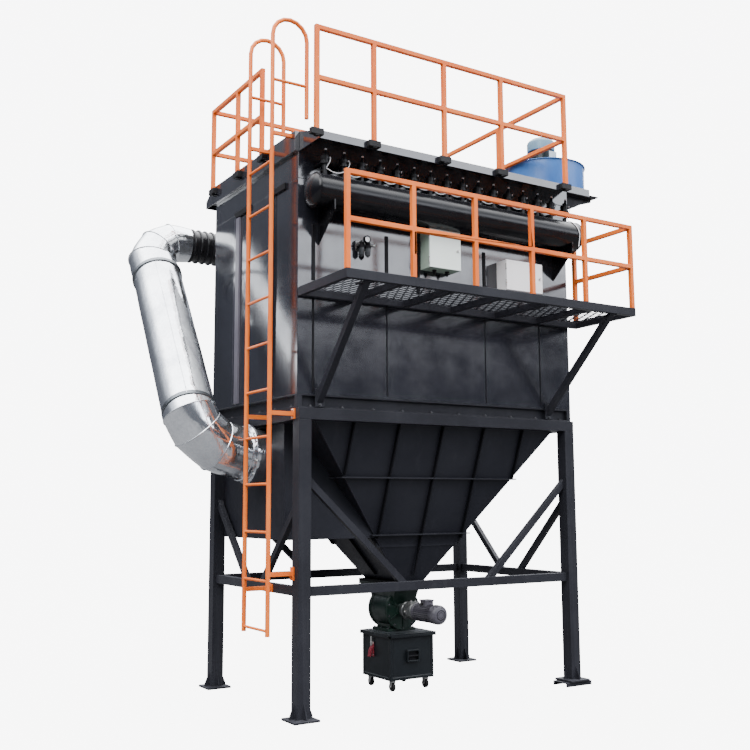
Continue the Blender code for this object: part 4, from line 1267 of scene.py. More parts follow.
@dataclass
class Steelwork:
    """Legs, beams, braces and the bolts that hold the housing down."""

    leg_edge: float = 0.005
    edge: float = 0.003
    bolt_pitch: float = 0.30
    flange_z: float = 2.5943
    bolt_line: Pair = (1.5445, 0.9025)
    bolt_start: float = 0.12
    heel_z: float = 2.66
    heel_lifts: Pair = (-0.052, 0.072)
    heels: Pair = (-1.345, 1.261)
    heel_face: float = -0.9323

    def skins(self) -> None:
        """Dress the frame's nodes."""
        plain = ("packing_channel", "ring_beam", "base_channel", "platform_frame",
                 "fan_bracket", "duct_bracket")
        for node in sorted(frame["nodes"]):
            if node.startswith("leg_"):
                dressed(node, Finish.FRAME, width=self.leg_edge)
            elif node in plain or node.startswith(("brace_", "platform_strut")):
                dressed(node, Finish.FRAME, width=self.edge)

    def row(self, half: float) -> list[float]:
        """Spread bolts along a side.

        Args:
            half: Half the side's length.

        Returns:
            Their places along it.
        """
        count = int(2 * (half - 0.1) / self.bolt_pitch)
        start = self.bolt_start
        return [-half + start + k * 2 * (half - start) / count for k in range(count + 1)]

    def bolts(self) -> None:
        """Set the bolts along the base channel's flange and in the struts' heels."""
        x, y = self.bolt_line
        spots: list[Point] = []
        for at in self.row(x):
            spots += [(at, -y, self.flange_z), (at, y, self.flange_z)]
        for at in self.row(y):
            spots += [(-x, at, self.flange_z), (x, at, self.flange_z)]
        HexBolts(0.013, 0.011).build("base_bolts", spots, [UP] * len(spots), Finish.BOLT)
        spots = [(x, self.heel_face, self.heel_z + lift) for x in self.heels
                 for lift in self.heel_lifts]
        HexBolts(0.012, 0.010).build("heel_bolts", spots, [FRONT] * len(spots), Finish.BOLT)

    def build(self) -> None:
        """Build the steelwork."""
        self.skins()
        self.bolts()


@dataclass
class Hopper:
    """Ribbed hopper and inlet chamber, with weld beads on their seams."""

    top: Pair = (1.36, 0.86)
    top_z: float = 2.487
    outlet: Pair = (0.14, 0.30)
    outlet_z: float = 1.02
    waists: Pair = (1.475, 2.0)
    waist_reach: float = 0.0075
    rib_proud: float = 0.012
    seam_z: tuple[float, ...] = (1.03, 1.469, 1.481, 1.994, 2.006, 2.47)
    bead: float = 0.006

    def half(self, z: float) -> Pair:
        """Measure the hopper at a height.

        Args:
            z: The height.

        Returns:
            Its half sizes there.
        """
        t = (self.top_z - z) / (self.top_z - self.outlet_z)
        x, y = (a + (b - a) * t for a, b in zip(self.top, self.outlet))
        return x, y

    def build(self) -> None:
        """Dress the hopper and weld its corners."""
        def on_rib(c: Vector) -> bool:
            """Tell whether a face stands proud of the sloping sheet."""
            off = [abs(a) - half for a, half in zip(c - Plan.middle, self.half(c.z))]
            return c.z < self.top_z - 0.02 and max(off) > self.rib_proud

        def on_waist(c: Vector) -> bool:
            """Tell whether a face is on the edge of a level band."""
            return any(abs(c.z - z) < self.waist_reach for z in self.waists)

        # The ribs' faces take the near-black painted shade.
        dressed("hopper", Finish.HOPPER, width=0.0,
                others=((Finish.RIB, on_rib), (Finish.FRAME, on_waist)))
        dressed("inlet_chamber", Finish.HOPPER, width=0.002)
        seams = []
        for sx, sy in ((1, -1), (-1, -1), (1, 1)):
            path = []
            for z in self.seam_z:
                x, y = self.half(z)
                path.append((sx * x, sy * y, z))
            seams += [path[0:2], path[2:4], path[4:6]]
        WeldBead(self.bead).build("hopper_seams", seams, Finish.HOPPER)


@dataclass
class Casing:
    """Housing, plenum, roof and eaves."""

    seam_z: float = 4.6
    front: float = -0.9203
    left: float = -1.5603
    seams: tuple[Pair, ...] = ((-1.41, 0.018), (-0.65, 0.010), (0.48, 0.008), (1.17, 0.010))
    seam_proud: float = 0.005
    strip: Pair = (0.285, 0.402)
    strip_proud: float = 0.0215
    shade_ledge_z: Pair = (4.56, 4.615)
    shade_ledges: tuple[Pair, ...] = ((-0.70, -0.475), (0.05, 0.402))

    def strips(self) -> None:
        """Run black seams down the front wall, partly painted shade, and put on the left wall's
        lighter strip and black ledges, painted reflection and painted shade.
        """
        low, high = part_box("housing")[0].z + 0.02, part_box("platform_frame")[0].z - 0.004
        shape = Shape()
        # Black seams: panel joints whose black is partly painted shade for the shadow lines at the
        # panel steps.
        for x, wide in self.seams:
            shape.block((x - wide / 2, self.front - self.seam_proud, low),
                        (x + wide / 2, self.front, high), Finish.BLACK_AND_SHADE)
        # Ledges painted black: painted shade for the shadowed gaps under the plenum's edge.
        for near, far in self.shade_ledges:
            shape.block((self.left - self.strip_proud, near, self.shade_ledge_z[0]),
                        (self.left, far, self.shade_ledge_z[1]), Finish.BLACK_AND_SHADE)
        # The strip is painted lighter: a painted reflection on the left wall.
        shape.block((self.left - self.strip_proud, self.strip[0], low),
                    (self.left, self.strip[1], self.shade_ledge_z[0] - 0.01), Finish.STRIP)
        shape.piece("wall_strips", Finish.BLACK_AND_SHADE, 0.0015)

    def build(self) -> None:
        """Dress the casing, with matt black stiffeners on the front wall."""
        self.strips()
        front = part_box("plenum")[0].y

        def stiffener(c: Vector) -> bool:
            """Tell whether a face stands proud of the front wall."""
            return c.y < front - 0.004 and c.z < self.seam_z

        dressed("housing", Finish.BODY, others=((Finish.BLACK_AND_SHADE, stiffener),))
        for node in ("plenum", "roof_cap", "front_canopy", "rear_eave"):
            dressed(node, Finish.BODY)


@dataclass
class Header:
    """Air receiver with dished ends, pulse valves, knees and the thin air line."""

    y: float = -1.10
    z: float = 4.45
    radius: float = 0.15
    reach: float = 1.50
    dish: float = 0.06
    wall_y: float = -0.9203
    pitch: float = 0.186
    count: int = 16
    white: int = 2
    knees: Pair = (-1.36, 1.38)
    knee_half: float = 0.006
    knee_z: Triple = (4.02, 4.27, 4.36)
    stem: float = 0.022
    line: float = 0.005
    line_z: float = 4.655
    line_steps: int = 8
    pipe_lift: float = 0.275
    pipe: float = 0.02

    def tank(self) -> None:
        """Turn the tank and cut its knee plates."""
        r, d = self.radius, self.dish
        bow = [(r * math.cos(math.radians(a)), d * math.sin(math.radians(a)))
               for a in range(0, 91, 9)]
        profile = [(a, -self.reach - h) for a, h in reversed(bow)]
        profile += [(r, -self.reach + 0.01), (r, self.reach - 0.01)]
        profile += [(a, self.reach + h) for a, h in bow]
        shape = Shape()
        shape.turned(profile, (0, self.y, self.z), RIGHT, Finish.TANK, 72)
        foot, tip, top = self.knee_z
        for x in (knee - self.knee_half for knee in self.knees):
            edge = [(x, self.wall_y, foot), (x, self.wall_y, top), (x, self.y - 0.12, top),
                    (x, self.y - 0.12, tip)]
            shape.plate(edge, (2 * self.knee_half, 0, 0), Finish.TANK)
        lift = self.z + self.pipe_lift
        for x in self.stations():
            shape.bar((x, self.y + 0.02, lift), (x, self.wall_y, lift), self.pipe, Finish.TANK)
        shape.piece("header_tank", Finish.BODY, 0.0, 24.0, stands_for=["air_header"])
        ends = [(-self.reach, self.y, self.z), (self.reach, self.y, self.z)]
        RoundBars(0.004, 72).build("header_girth_welds", ends, [RIGHT] * 2,
                                   [self.radius + 0.0005] * 2, Finish.TANK)

    def stations(self) -> list[float]:
        """Return where the valves stand along the tank."""
        return [(k - (self.count - 1) / 2) * self.pitch for k in range(self.count)]

    def valves(self) -> None:
        """Grow the pulse valves: stem, body, bonnet with screws, and coil."""
        g = Growth("pulse_valve", Finish.SOOT_VALVE)
        stem = g.size("Stem radius", self.stem)
        body = g.size("Body radius", 0.042)
        coil = g.size("Coil radius", 0.013)
        screw = g.drum(0.0035, 0.012, 0.164, 6)
        circle = g.node("GeometryNodeMeshCircle", Vertices=8, Radius=0.034)
        parts = g.joined(
            g.drum(stem, 0.13, -0.02, 20),
            g.drum(body, 0.020, 0.100, 28),
            g.drum(g.math("MULTIPLY", body, 0.85), 0.020, 0.120, 28),
            g.drum(body, 0.024, 0.140, 28),
            g.drum(0.020, 0.030, 0.164, 20),
            g.placed(circle, screw),
            g.moved(g.drum(coil, 0.050, 0.168, 14), (0.0, -0.016, 0.0)))
        foot = [(x, self.y, self.z + self.radius) for x in self.stations()]
        g.grow("pulse_valves", g.placed(g.base, parts), points_mesh(foot))
        g = Growth("coil_cap", Finish.TUBE)
        cap = g.size("Cap radius", 0.011)
        dot = g.joined(g.moved(g.drum(cap, 0.014, 0.2185, 14), (0.0, -0.016, 0.0)),
                       g.moved(g.drum(0.006, 0.014, 0.148, 10), (0.034, -0.030, 0.0)))
        g.grow("coil_caps", g.placed(g.base, dot), points_mesh(foot))

    def air_line(self) -> None:
        """Sweep the air line that sags from valve to valve, and its loops to the coils."""
        r = self.line
        y = self.y - self.stem - r - GAP
        xs = self.stations()
        main: list[Point] = []
        for k, x in enumerate(xs[:-1]):
            for step in range(self.line_steps):
                t = step / self.line_steps
                sag = math.sin(math.pi * t)
                deep = 0.030 + 0.006 * math.sin(k * 2.3)
                main.append((x + self.pitch * t, y - r * sag, self.line_z - deep * sag))
        main.append((xs[-1], y, self.line_z))
        turn = math.radians(9)
        reach = (self.radius + r) / math.cos(turn / 2) + 0.0005
        for k in range(9):
            angle = turn * (8 - k)
            main.append((xs[-1] + 0.0065 * (k + 1) * 0.9, self.y - reach * math.cos(angle),
                         self.z + reach * math.sin(angle)))
        for k in range(1, 7):
            main.append((xs[-1] + 0.055 - 0.01 * k / 6, self.y - reach + 0.012 * (k / 6) ** 2,
                         self.z - 0.13 * k / 6))
        loops = []
        for k, x in enumerate(xs):
            lean = 0.012 * math.sin(k * 1.7)
            loop = []
            for step in range(self.line_steps + 1):
                t = step / self.line_steps
                bow = math.sin(math.pi * t)
                loop.append((x + 0.034 - 0.034 * t + lean * bow,
                             self.y - 0.040 - 0.022 * bow * (1 - 0.3 * t) + 0.012 * t,
                             4.750 - 0.090 * t))
            loops.append(loop)
        self.tubes("air_line_tube", [main] + loops[:self.white], r * 0.9, Finish.TUBE,
                   ["pulse_air_line"])
        self.tubes("coil_loops", loops[self.white:], r * 0.7, Finish.SOOT_VALVE)

    def tubes(self, name: str, paths: Sequence[Sequence[Point]], girth: float, finish: Finish,
              stands_for: Iterable[str] = ()) -> None:
        """Sweep thin tubes along paths.

        Args:
            name: The piece's name.
            paths: Points on the plan for each tube.
            girth: The tubes' radius.
            finish: Their finish.
            stands_for: Nodes that the piece replaces.
        """
        g = Growth(name, finish)
        radius = g.size("Tube radius", girth)
        curve = g.node("GeometryNodeMeshToCurve", Mesh=g.base)
        g.grow(name, g.swept(curve, radius, 10), paths_mesh(paths), 60.0, stands_for=stands_for)

    def build(self) -> None:
        """Build the header."""
        self.tank()
        self.valves()
        self.air_line()


@dataclass
class Deck:
    """Expanded-metal walkway: zigzag strands that meet in diamonds."""

    short_way: float = 0.078
    long_way: float = 0.148
    strand: float = 0.0065
    depth: float = 0.0070

    def build(self) -> None:
        """Grow the mesh between the deck's edges."""
        low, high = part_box("platform_deck")
        z = (low.z + high.z) / 2
        across = int((high.x - low.x - 0.01) / (self.short_way / 2))
        along = int((high.y - low.y - 0.01) / (self.long_way / 2))
        step_x = (high.x - low.x - 0.01) / across
        step_y = (high.y - low.y - 0.01) / along
        g = Growth("expanded_metal", Finish.FRAME)
        swing = g.size("Swing", step_x / 2)
        step = g.size("Half pitch along", step_y)
        pitch = g.size("Strand pitch", step_x)
        wide, deep = g.size("Strand width", self.strand), g.size("Strand depth", self.depth)
        count_x, count_y = g.size("Strands", across), g.size("Bends", along + 1)
        line = g.node("GeometryNodeMeshLine", None, "Mesh", Count=count_y, Offset=g.vector(y=step))
        index = g.node("GeometryNodeInputIndex")
        odd = g.math("MODULO", index, 2.0)
        side = g.math("MULTIPLY", g.math("SUBTRACT", odd, 0.5), swing)
        bent = g.node("GeometryNodeSetPosition", Geometry=line, Offset=g.vector(x=side))
        curve = g.node("GeometryNodeMeshToCurve", Mesh=bent)
        bar = g.node("GeometryNodeCurvePrimitiveQuadrilateral", Width=wide, Height=deep)
        strand = g.node("GeometryNodeCurveToMesh", Curve=curve, Profile_Curve=bar, Fill_Caps=True)
        row = g.node("GeometryNodeMeshLine", None, "Mesh", Count=count_x, Offset=g.vector(x=pitch))
        flip = g.math("SUBTRACT", 1.0, g.math("MULTIPLY", g.math("MODULO", index, 2.0), 2.0))
        mirror = g.node("ShaderNodeCombineXYZ", X=flip, Y=1.0, Z=1.0)
        mesh = g.placed(row, strand, None, mirror)
        start = (low.x + 0.005 + step_x / 2, low.y + 0.005, z)
        mesh = g.moved(mesh, start)
        base = bpy.data.meshes.new("deck_start")
        g.grow("deck_mesh", mesh, base, stands_for=["platform_deck"])


@dataclass
class Railing:
    """Roof and platform rails, the ladder and its hand loops."""

    socket_top: float = 4.988
    rear_socket_top: float = 5.072
    arm_x: float = -1.573
    arm_y: Pair = (-0.859, -0.396)
    arm_z: float = 2.53

    def build(self) -> None:
        """Dress the rails, with dark sockets where the posts meet the roof."""
        for side in ("front", "left", "right", "rear"):
            top = self.socket_top if side in ("front", "left") else self.rear_socket_top
            dressed("roof_rail_" + side, Finish.RAIL,
                    others=((Finish.SOCKET, lambda c, top=top: c.z < top),))
        for node in ("platform_rail_front", "platform_rail_right"):
            dressed(node, Finish.RAIL)
        for node in ("ladder", "ladder_loop_front", "ladder_loop_rear"):
            dressed(node, Finish.RAIL, width=0.002)
        spots = [(self.arm_x, y, self.arm_z + lift) for y in self.arm_y for lift in (-0.034, 0.034)]
        HexBolts(0.008, 0.007).build("ladder_bolts", spots, [LEFT] * len(spots))


@dataclass
class Duct:
    """Galvanised inlet duct with seamed elbows, banded riser and a ribbed sleeve."""

    radius: float = 0.24
    run_radius: float = 0.18
    low: Triple = (-2.17, 0.08, 2.72)
    high: Triple = (-2.07, 1.17, 4.00)
    bore: Triple = (-1.4553, -0.02, 2.22)
    sleeve: Pair = (-1.678, -0.96)
    run: Pair = (1.42, 4.51)
    flange_x: float = -1.624
    band: float = 0.042
    sides: int = 64
    dent: float = 0.0035

    def swept(self, name: str, path: Sequence[Point], girths: Sequence[float],
              node: str, dent: float, divide: int = 1) -> None:
        """Sweep a length of duct along a path.

        Args:
            name: The piece's name.
            path: Its bends.
            girths: Its radius at each bend.
            node: The node that it replaces.
            dent: How deep its dents are.
            divide: Lengths that each straight is cut into.
        """
        points, sizes = [], []
        for a, b, ra, rb in zip(path, path[1:], girths, girths[1:]):
            for k in range(divide):
                points.append(Vector(a).lerp(Vector(b), k / divide))
                sizes.append(ra + (rb - ra) * k / divide)
        points.append(Vector(path[-1]))
        sizes.append(girths[-1])
        g = Growth(name, Finish.ZINC)
        depth, grain = g.size("Dent depth", dent), g.size("Dents to the metre", 2.6)
        sides = g.size("Sides", self.sides)
        curve = g.node("GeometryNodeMeshToCurve", Mesh=g.base)
        pipe = g.swept(curve, 1.0, sides, g.named("girth", "FLOAT"), False)
        noise = g.node("ShaderNodeTexNoise", None, "Fac", Scale=grain, Detail=3.0)
        push = g.math("MULTIPLY", g.math("SUBTRACT", noise, 0.5), g.math("MULTIPLY", depth, 2.0))
        normal = g.node("GeometryNodeInputNormal")
        away = g.node("ShaderNodeVectorMath", {"operation": "SCALE"}, 0, i0=normal, Scale=push)
        pipe = g.node("GeometryNodeSetPosition", Geometry=pipe, Offset=away)
        g.grow(name, pipe, points_mesh(points, girths=sizes, linked=True), 11.0,
               stands_for=[node])

    def build(self) -> None:
        """Build the duct from the chamber to the plenum."""
        low, high = Vector(self.low), Vector(self.high)
        run = (high - low).normalized()
        x, y, z = self.bore
        r = self.radius
        bends = [(x, y, z), (-1.66, y, z), (-1.92, y - 0.02, z + 0.07), (-2.11, y - 0.04, z + 0.21),
                 tuple(low - run * 0.2), tuple(low)]
        self.swept("lower_elbow_sheet", bends, [r] * 6, "duct_lower_elbow", self.dent, 3)
        top = (-1.86, *self.run)
        upper = [tuple(high), tuple(high + run * 0.13), (-2.08, 1.37, 4.27), (-1.99, 1.415, 4.43),
                 top, (self.sleeve[0], *self.run)]
        girths = [r, r, 0.235, 0.22, 0.20, self.run_radius]
        self.swept("upper_elbow_sheet", upper, girths, "duct_upper_elbow", self.dent * 0.6, 3)
        self.swept("riser_sheet", [tuple(low), tuple(high)], [r, r], "duct_riser", self.dent, 40)
        self.bands(low, high, run)
        self.seams(bends, upper, girths)
        self.ribs()
        self.flange()

    def bands(self, low: Vector, high: Vector, run: Vector) -> None:
        """Clamp a narrow dark ring over each end of the riser, and weld its long lap.

        Args:
            low: The riser's foot.
            high: Its head.
            run: The way that it leads.
        """
        length = (high - low).length
        a = self.radius - 0.002
        shape = Shape()
        for middle, proud in ((-0.165, 0.004), (length + 0.095, 0.012)):
            start, end = middle - self.band / 2, middle + self.band / 2
            b = self.radius + proud
            profile = [(a, start), (b - 0.002, start), (b, start + 0.003), (b, end - 0.003),
                       (b - 0.002, end), (a, end)]
            shape.turned(profile, low, run, Finish.BAND, 64, ring=True)
        shape.piece("riser_bands", Finish.ZINC, 0.0, 25.0)
        aside = Vector((-0.08, -0.232, 0.0))
        aside = (aside - run * aside.dot(run)).normalized() * (self.radius + 0.001)
        seam = [tuple(low + run * (s * length) + aside) for s in (-0.1, 1.05)]
        WeldBead(0.004, 0.02, 0.1).build("riser_lap", [seam], Finish.ZINC)

    def seams(self, bends: Sequence[Point], upper: Sequence[Point],
              girths: Sequence[float]) -> None:
        """Raise a seam ring at each mitre.

        Args:
            bends: The lower elbow's bends.
            upper: The upper elbow's bends.
            girths: The upper elbow's radius at each bend.
        """
        spots, ways, sizes = [], [], []
        for path, radii in ((bends, [self.radius] * len(bends)), (upper, girths)):
            for k in range(1, len(path) - 1):
                a, b, c = (Vector(path[k + j]) for j in (-1, 0, 1))
                spots.append(tuple(b))
                ways.append((b - a).normalized() + (c - b).normalized())
                sizes.append(radii[k] + 0.002)
        RoundBars(0.0055, 64).build("mitre_seams", spots, ways, sizes, Finish.ZINC)

    def ribs(self) -> None:
        """Grow the sleeve's ribs along a plain core, and its end ring."""
        a, b = self.sleeve
        count, y, z = 9, *self.run
        r = self.run_radius
        pitch = (b - 0.03 - a) / (count + 0.5)
        shape = Shape()
        core = square_hoop(r - 0.014, r - 0.020, a + 0.0005, b - 0.02)
        rim = [(r - 0.012, b - 0.02), (0.233, b - 0.02), (0.235, b - 0.016), (0.235, b - 0.001),
               (r - 0.012, b - 0.001)]
        for profile in (core, rim):
            shape.turned(profile, (0, y, z), RIGHT, Finish.SLEEVE, 56, ring=True)
        shape.piece("sleeve_core", Finish.SLEEVE, stands_for=["duct_connector"])
        g = Growth("sleeve_ribs", Finish.SLEEVE)
        ribs, gap = g.size("Ribs", count), g.size("Rib pitch", pitch)
        girth, fat = g.size("Rib girth", r - 0.010), g.size("Rib thickness", 0.012)
        row = g.node("GeometryNodeMeshLine", None, "Mesh", Count=ribs, Offset=g.vector(x=gap))
        hoop = g.node("GeometryNodeCurvePrimitiveCircle", Resolution=56, Radius=girth)
        slack = g.chance(0.985, 1.0, 5)
        hoops = g.placed(row, g.swept(hoop, fat, 14), g.facing((1.0, 0.0, 0.0)), slack)
        hoops = g.moved(hoops, Plan.at(a + pitch * 0.5, y, z))
        g.grow("sleeve_ribs", hoops, bpy.data.meshes.new("rib_start"), 60.0)

    def flange(self) -> None:
        """Turn the bolted flange at the chamber, and set its bolts."""
        _, y, z = self.bore
        rim, seat = self.radius + 0.035, self.radius + 0.003
        ring = [(seat, 0.0), (rim - 0.002, 0.0), (rim, 0.002), (rim, 0.022), (rim - 0.002, 0.024),
                (seat, 0.024)]
        shape = Shape()
        shape.turned(ring, (self.flange_x, y, z), RIGHT, Finish.ZINC, 64, ring=True)
        shape.piece("elbow_flange", Finish.ZINC)
        spots = [(self.flange_x, y + a, z + b) for a, b in circle_spots(12, rim - 0.016)]
        HexBolts(0.009, 0.008).build("flange_bolts", spots, [LEFT] * len(spots))


@dataclass
class Fins:
    """Cooling fins that stand round a motor's core."""

    count: int = 32
    depth: float = 0.016
    thick: float = 0.0035

    def build(self, name: str, origin: Point, turn: Triple, radius: float,
              length: float, finish: Finish) -> None:
        """Grow the fins round an axis.

        Args:
            name: The piece's name.
            origin: The foot of the axis on the plan.
            turn: The turn that leads +Z to the axis.
            radius: Where the fins start.
            length: How long they are.
            finish: Their finish.
        """
        g = Growth("fins", finish)
        depth, thick = g.size("Fin depth", self.depth), g.size("Fin thickness", self.thick)
        count = g.size("Fins", self.count)
        bar = g.node("GeometryNodeMeshCube", None, "Mesh", Size=g.vector(depth, thick, length))
        bar = g.moved(bar, g.vector(g.math("MULTIPLY", depth, 0.5), 0.0, length / 2))
        circle = g.node("GeometryNodeMeshCircle", Vertices=count, Radius=radius)
        step = g.math("DIVIDE", math.tau, count)
        angle = g.math("MULTIPLY", g.node("GeometryNodeInputIndex"), step)
        spin = g.node("FunctionNodeAxisAngleToRotation", Axis=(0, 0, 1), Angle=angle)
        ring = g.placed(circle, bar, spin)
        ring = g.node("GeometryNodeTransform", Geometry=ring, Translation=Plan.at(*origin),
                      Rotation=turn)
        g.grow(name, ring, bpy.data.meshes.new("fin_start"))


@dataclass
class RoofFan:
    """Blue spiral fan at the roof's end, with its finned motor upright on it."""

    at: Pair = (1.64, -0.50)
    base: float = 5.0326
    height: float = 0.33
    tongue: float = 0.355
    reach: float = 0.47
    outlet: float = 0.34
    outlet_y: float = 0.10
    lip: float = 0.02
    rim: float = 0.007
    mouth_depth: float = 0.055

    def spiral(self, grow: float, z: float) -> list[Point]:
        """Draw the scroll's outline.

        Args:
            grow: How far it is grown outwards.
            z: Its height.

        Returns:
            Its corners on the plan.
        """
        x, y = self.at
        points = []
        for k in range(121):
            angle = math.radians(60 + 300 * k / 120)
            radius = self.tongue + (self.reach - self.tongue) * k / 120 + grow
            points.append((x + radius * math.cos(angle), y + radius * math.sin(angle), z))
        return points + [(x + self.reach + grow, self.outlet_y - 0.02, z),
                         (x + self.reach - self.outlet - grow, self.outlet_y - 0.02, z)]

    def scroll(self) -> None:
        """Build the scroll's sheet, whose mouth lies back with its face painted black as painted
        shade.
        """
        low = self.base + SHY
        shape = Shape()
        shape.plate(self.spiral(0.0, low), (0, 0, self.height - 2 * SHY), Finish.FAN)
        x = self.at[0] + self.reach - self.outlet / 2
        middle = Vector((x, self.outlet_y, self.base + self.height / 2))
        mouth = min(shape.bm.faces, key=lambda f: (f.calc_center_median() - middle).length)
        bmesh.ops.inset_region(shape.bm, faces=[mouth], thickness=0.016)
        bmesh.ops.translate(shape.bm, verts=mouth.verts, vec=(0, -self.mouth_depth, 0))
        # Painted shade: the mouth's face is painted black for the dark inside of the opening.
        shape.paint([mouth], Finish.BLACK_AND_SHADE)
        shape.piece("fan_scroll_sheet", Finish.FAN, 0.0015, 24.0, stands_for=["fan_scroll"])

    def rims(self) -> None:
        """Build the scroll's rims, cover, outlet frame and lifting eye."""
        x, y = self.at
        z, top = self.base, self.base + self.height
        shape = Shape()
        for low in (z, top - self.rim):
            shape.plate(self.spiral(0.013, low), (0, 0, self.rim), Finish.FAN)
        cover = [(0.0, 0.0), (0.235, 0.0), (0.235, 0.008), (0.228, 0.010), (0.0, 0.010)]
        shape.turned(cover, (x, y, top - 0.004), UP, Finish.FAN, 64)
        left, right = x + self.reach - self.outlet, x + self.reach
        near, far, lip = self.outlet_y - 0.008, self.outlet_y, self.lip
        for start, end, foot, head in ((left - lip, left, z, top + lip),
                                       (right, right + lip, z, top + lip),
                                       (left, right, z, z + 0.012),
                                       (left, right, top - 0.012, top + lip)):
            shape.block((start, near, foot), (end, far, head), Finish.FAN)
        eye = [(0.0, 0.0), (0.022, 0.0), (0.020, 0.03), (0.026, 0.045), (0.022, 0.075),
               (0.010, 0.092), (0.0, 0.095)]
        shape.turned(eye, (x - 0.17, y + 0.106, top), UP, Finish.BLACK_AND_SHADE, 20)
        shape.piece("fan_scroll_rims", Finish.FAN, 0.0015, 24.0)

    def joints(self) -> None:
        """Set the cover's bolts and weld the rims' seams."""
        x, y = self.at
        z, top = self.base, self.base + self.height
        spots = [(x + a, y + b, top + 0.006) for a, b in circle_spots(12, 0.212, 0.0)]
        HexBolts(0.008, 0.006).build("fan_cover_bolts", spots, [UP] * len(spots))
        for low in (z + self.rim, top - self.rim):
            seam = self.spiral(0.001, low)[:-2:3]
            WeldBead(0.0035, 0.012).build("fan_seam_%d" % round(low * 100), [seam], Finish.FAN)

    def motor(self) -> None:
        """Build the motor: foot ring, core, domed cowl, terminal box and fins."""
        x, y = self.at
        z = self.base + self.height + GAP
        at = (x, y, z)
        core = [(0, 0), (0.158, 0), (0.16, 0.002), (0.16, 0.016), (0.155, 0.02), (0.121, 0.03),
                (0.119, 0.19), (0.134, 0.196), (0.134, 0.205), (0, 0.205)]
        cowl = [(0, 0.205), (0.147, 0.205), (0.15, 0.209), (0.15, 0.296), (0.145, 0.312),
                (0.132, 0.328), (0.10, 0.345), (0.05, 0.356), (0, 0.36)]
        shape = Shape()
        shape.turned(core, at, UP, Finish.MOTOR, 64)
        shape.turned(cowl, at, UP, Finish.COWL, 64)
        for ring in (0.045, 0.07, 0.095):
            lift = 0.36 - ring ** 2 * 1.6
            profile = square_hoop(ring, ring + 0.008, lift - 0.003, lift + 0.002)
            shape.turned(profile, at, UP, Finish.BLACK_AND_SHADE, 48, ring=True)
        shape.block((x - 0.06, y - 0.182, z + 0.06), (x + 0.06, y - 0.11, z + 0.17), Finish.MOTOR)
        shape.block((x - 0.048, y - 0.19, z + 0.066), (x + 0.048, y - 0.182, z + 0.164),
                    Finish.PALE)
        gland = [(0, 0), (0.014, 0), (0.014, 0.02), (0.009, 0.024), (0.009, 0.035), (0, 0.035)]
        shape.turned(gland, (x - 0.02, y - 0.155, z + 0.06), DOWN, Finish.RUBBER, 16)
        shape.piece("fan_motor_case", Finish.MOTOR, 0.0018, 26.0, stands_for=["fan_motor"])
        Fins(36).build("fan_motor_fins", (x, y, z + 0.032), (0, 0, 0), 0.1185, 0.158,
                       Finish.MOTOR)
        feet = [(x + a, y + b, z + 0.018) for a, b in circle_spots(8, 0.146)]
        HexBolts(0.008, 0.007).build("fan_motor_bolts", feet, [UP] * len(feet))

    def build(self) -> None:
        """Build the fan."""
        self.scroll()
        self.rims()
        self.joints()
        self.motor()


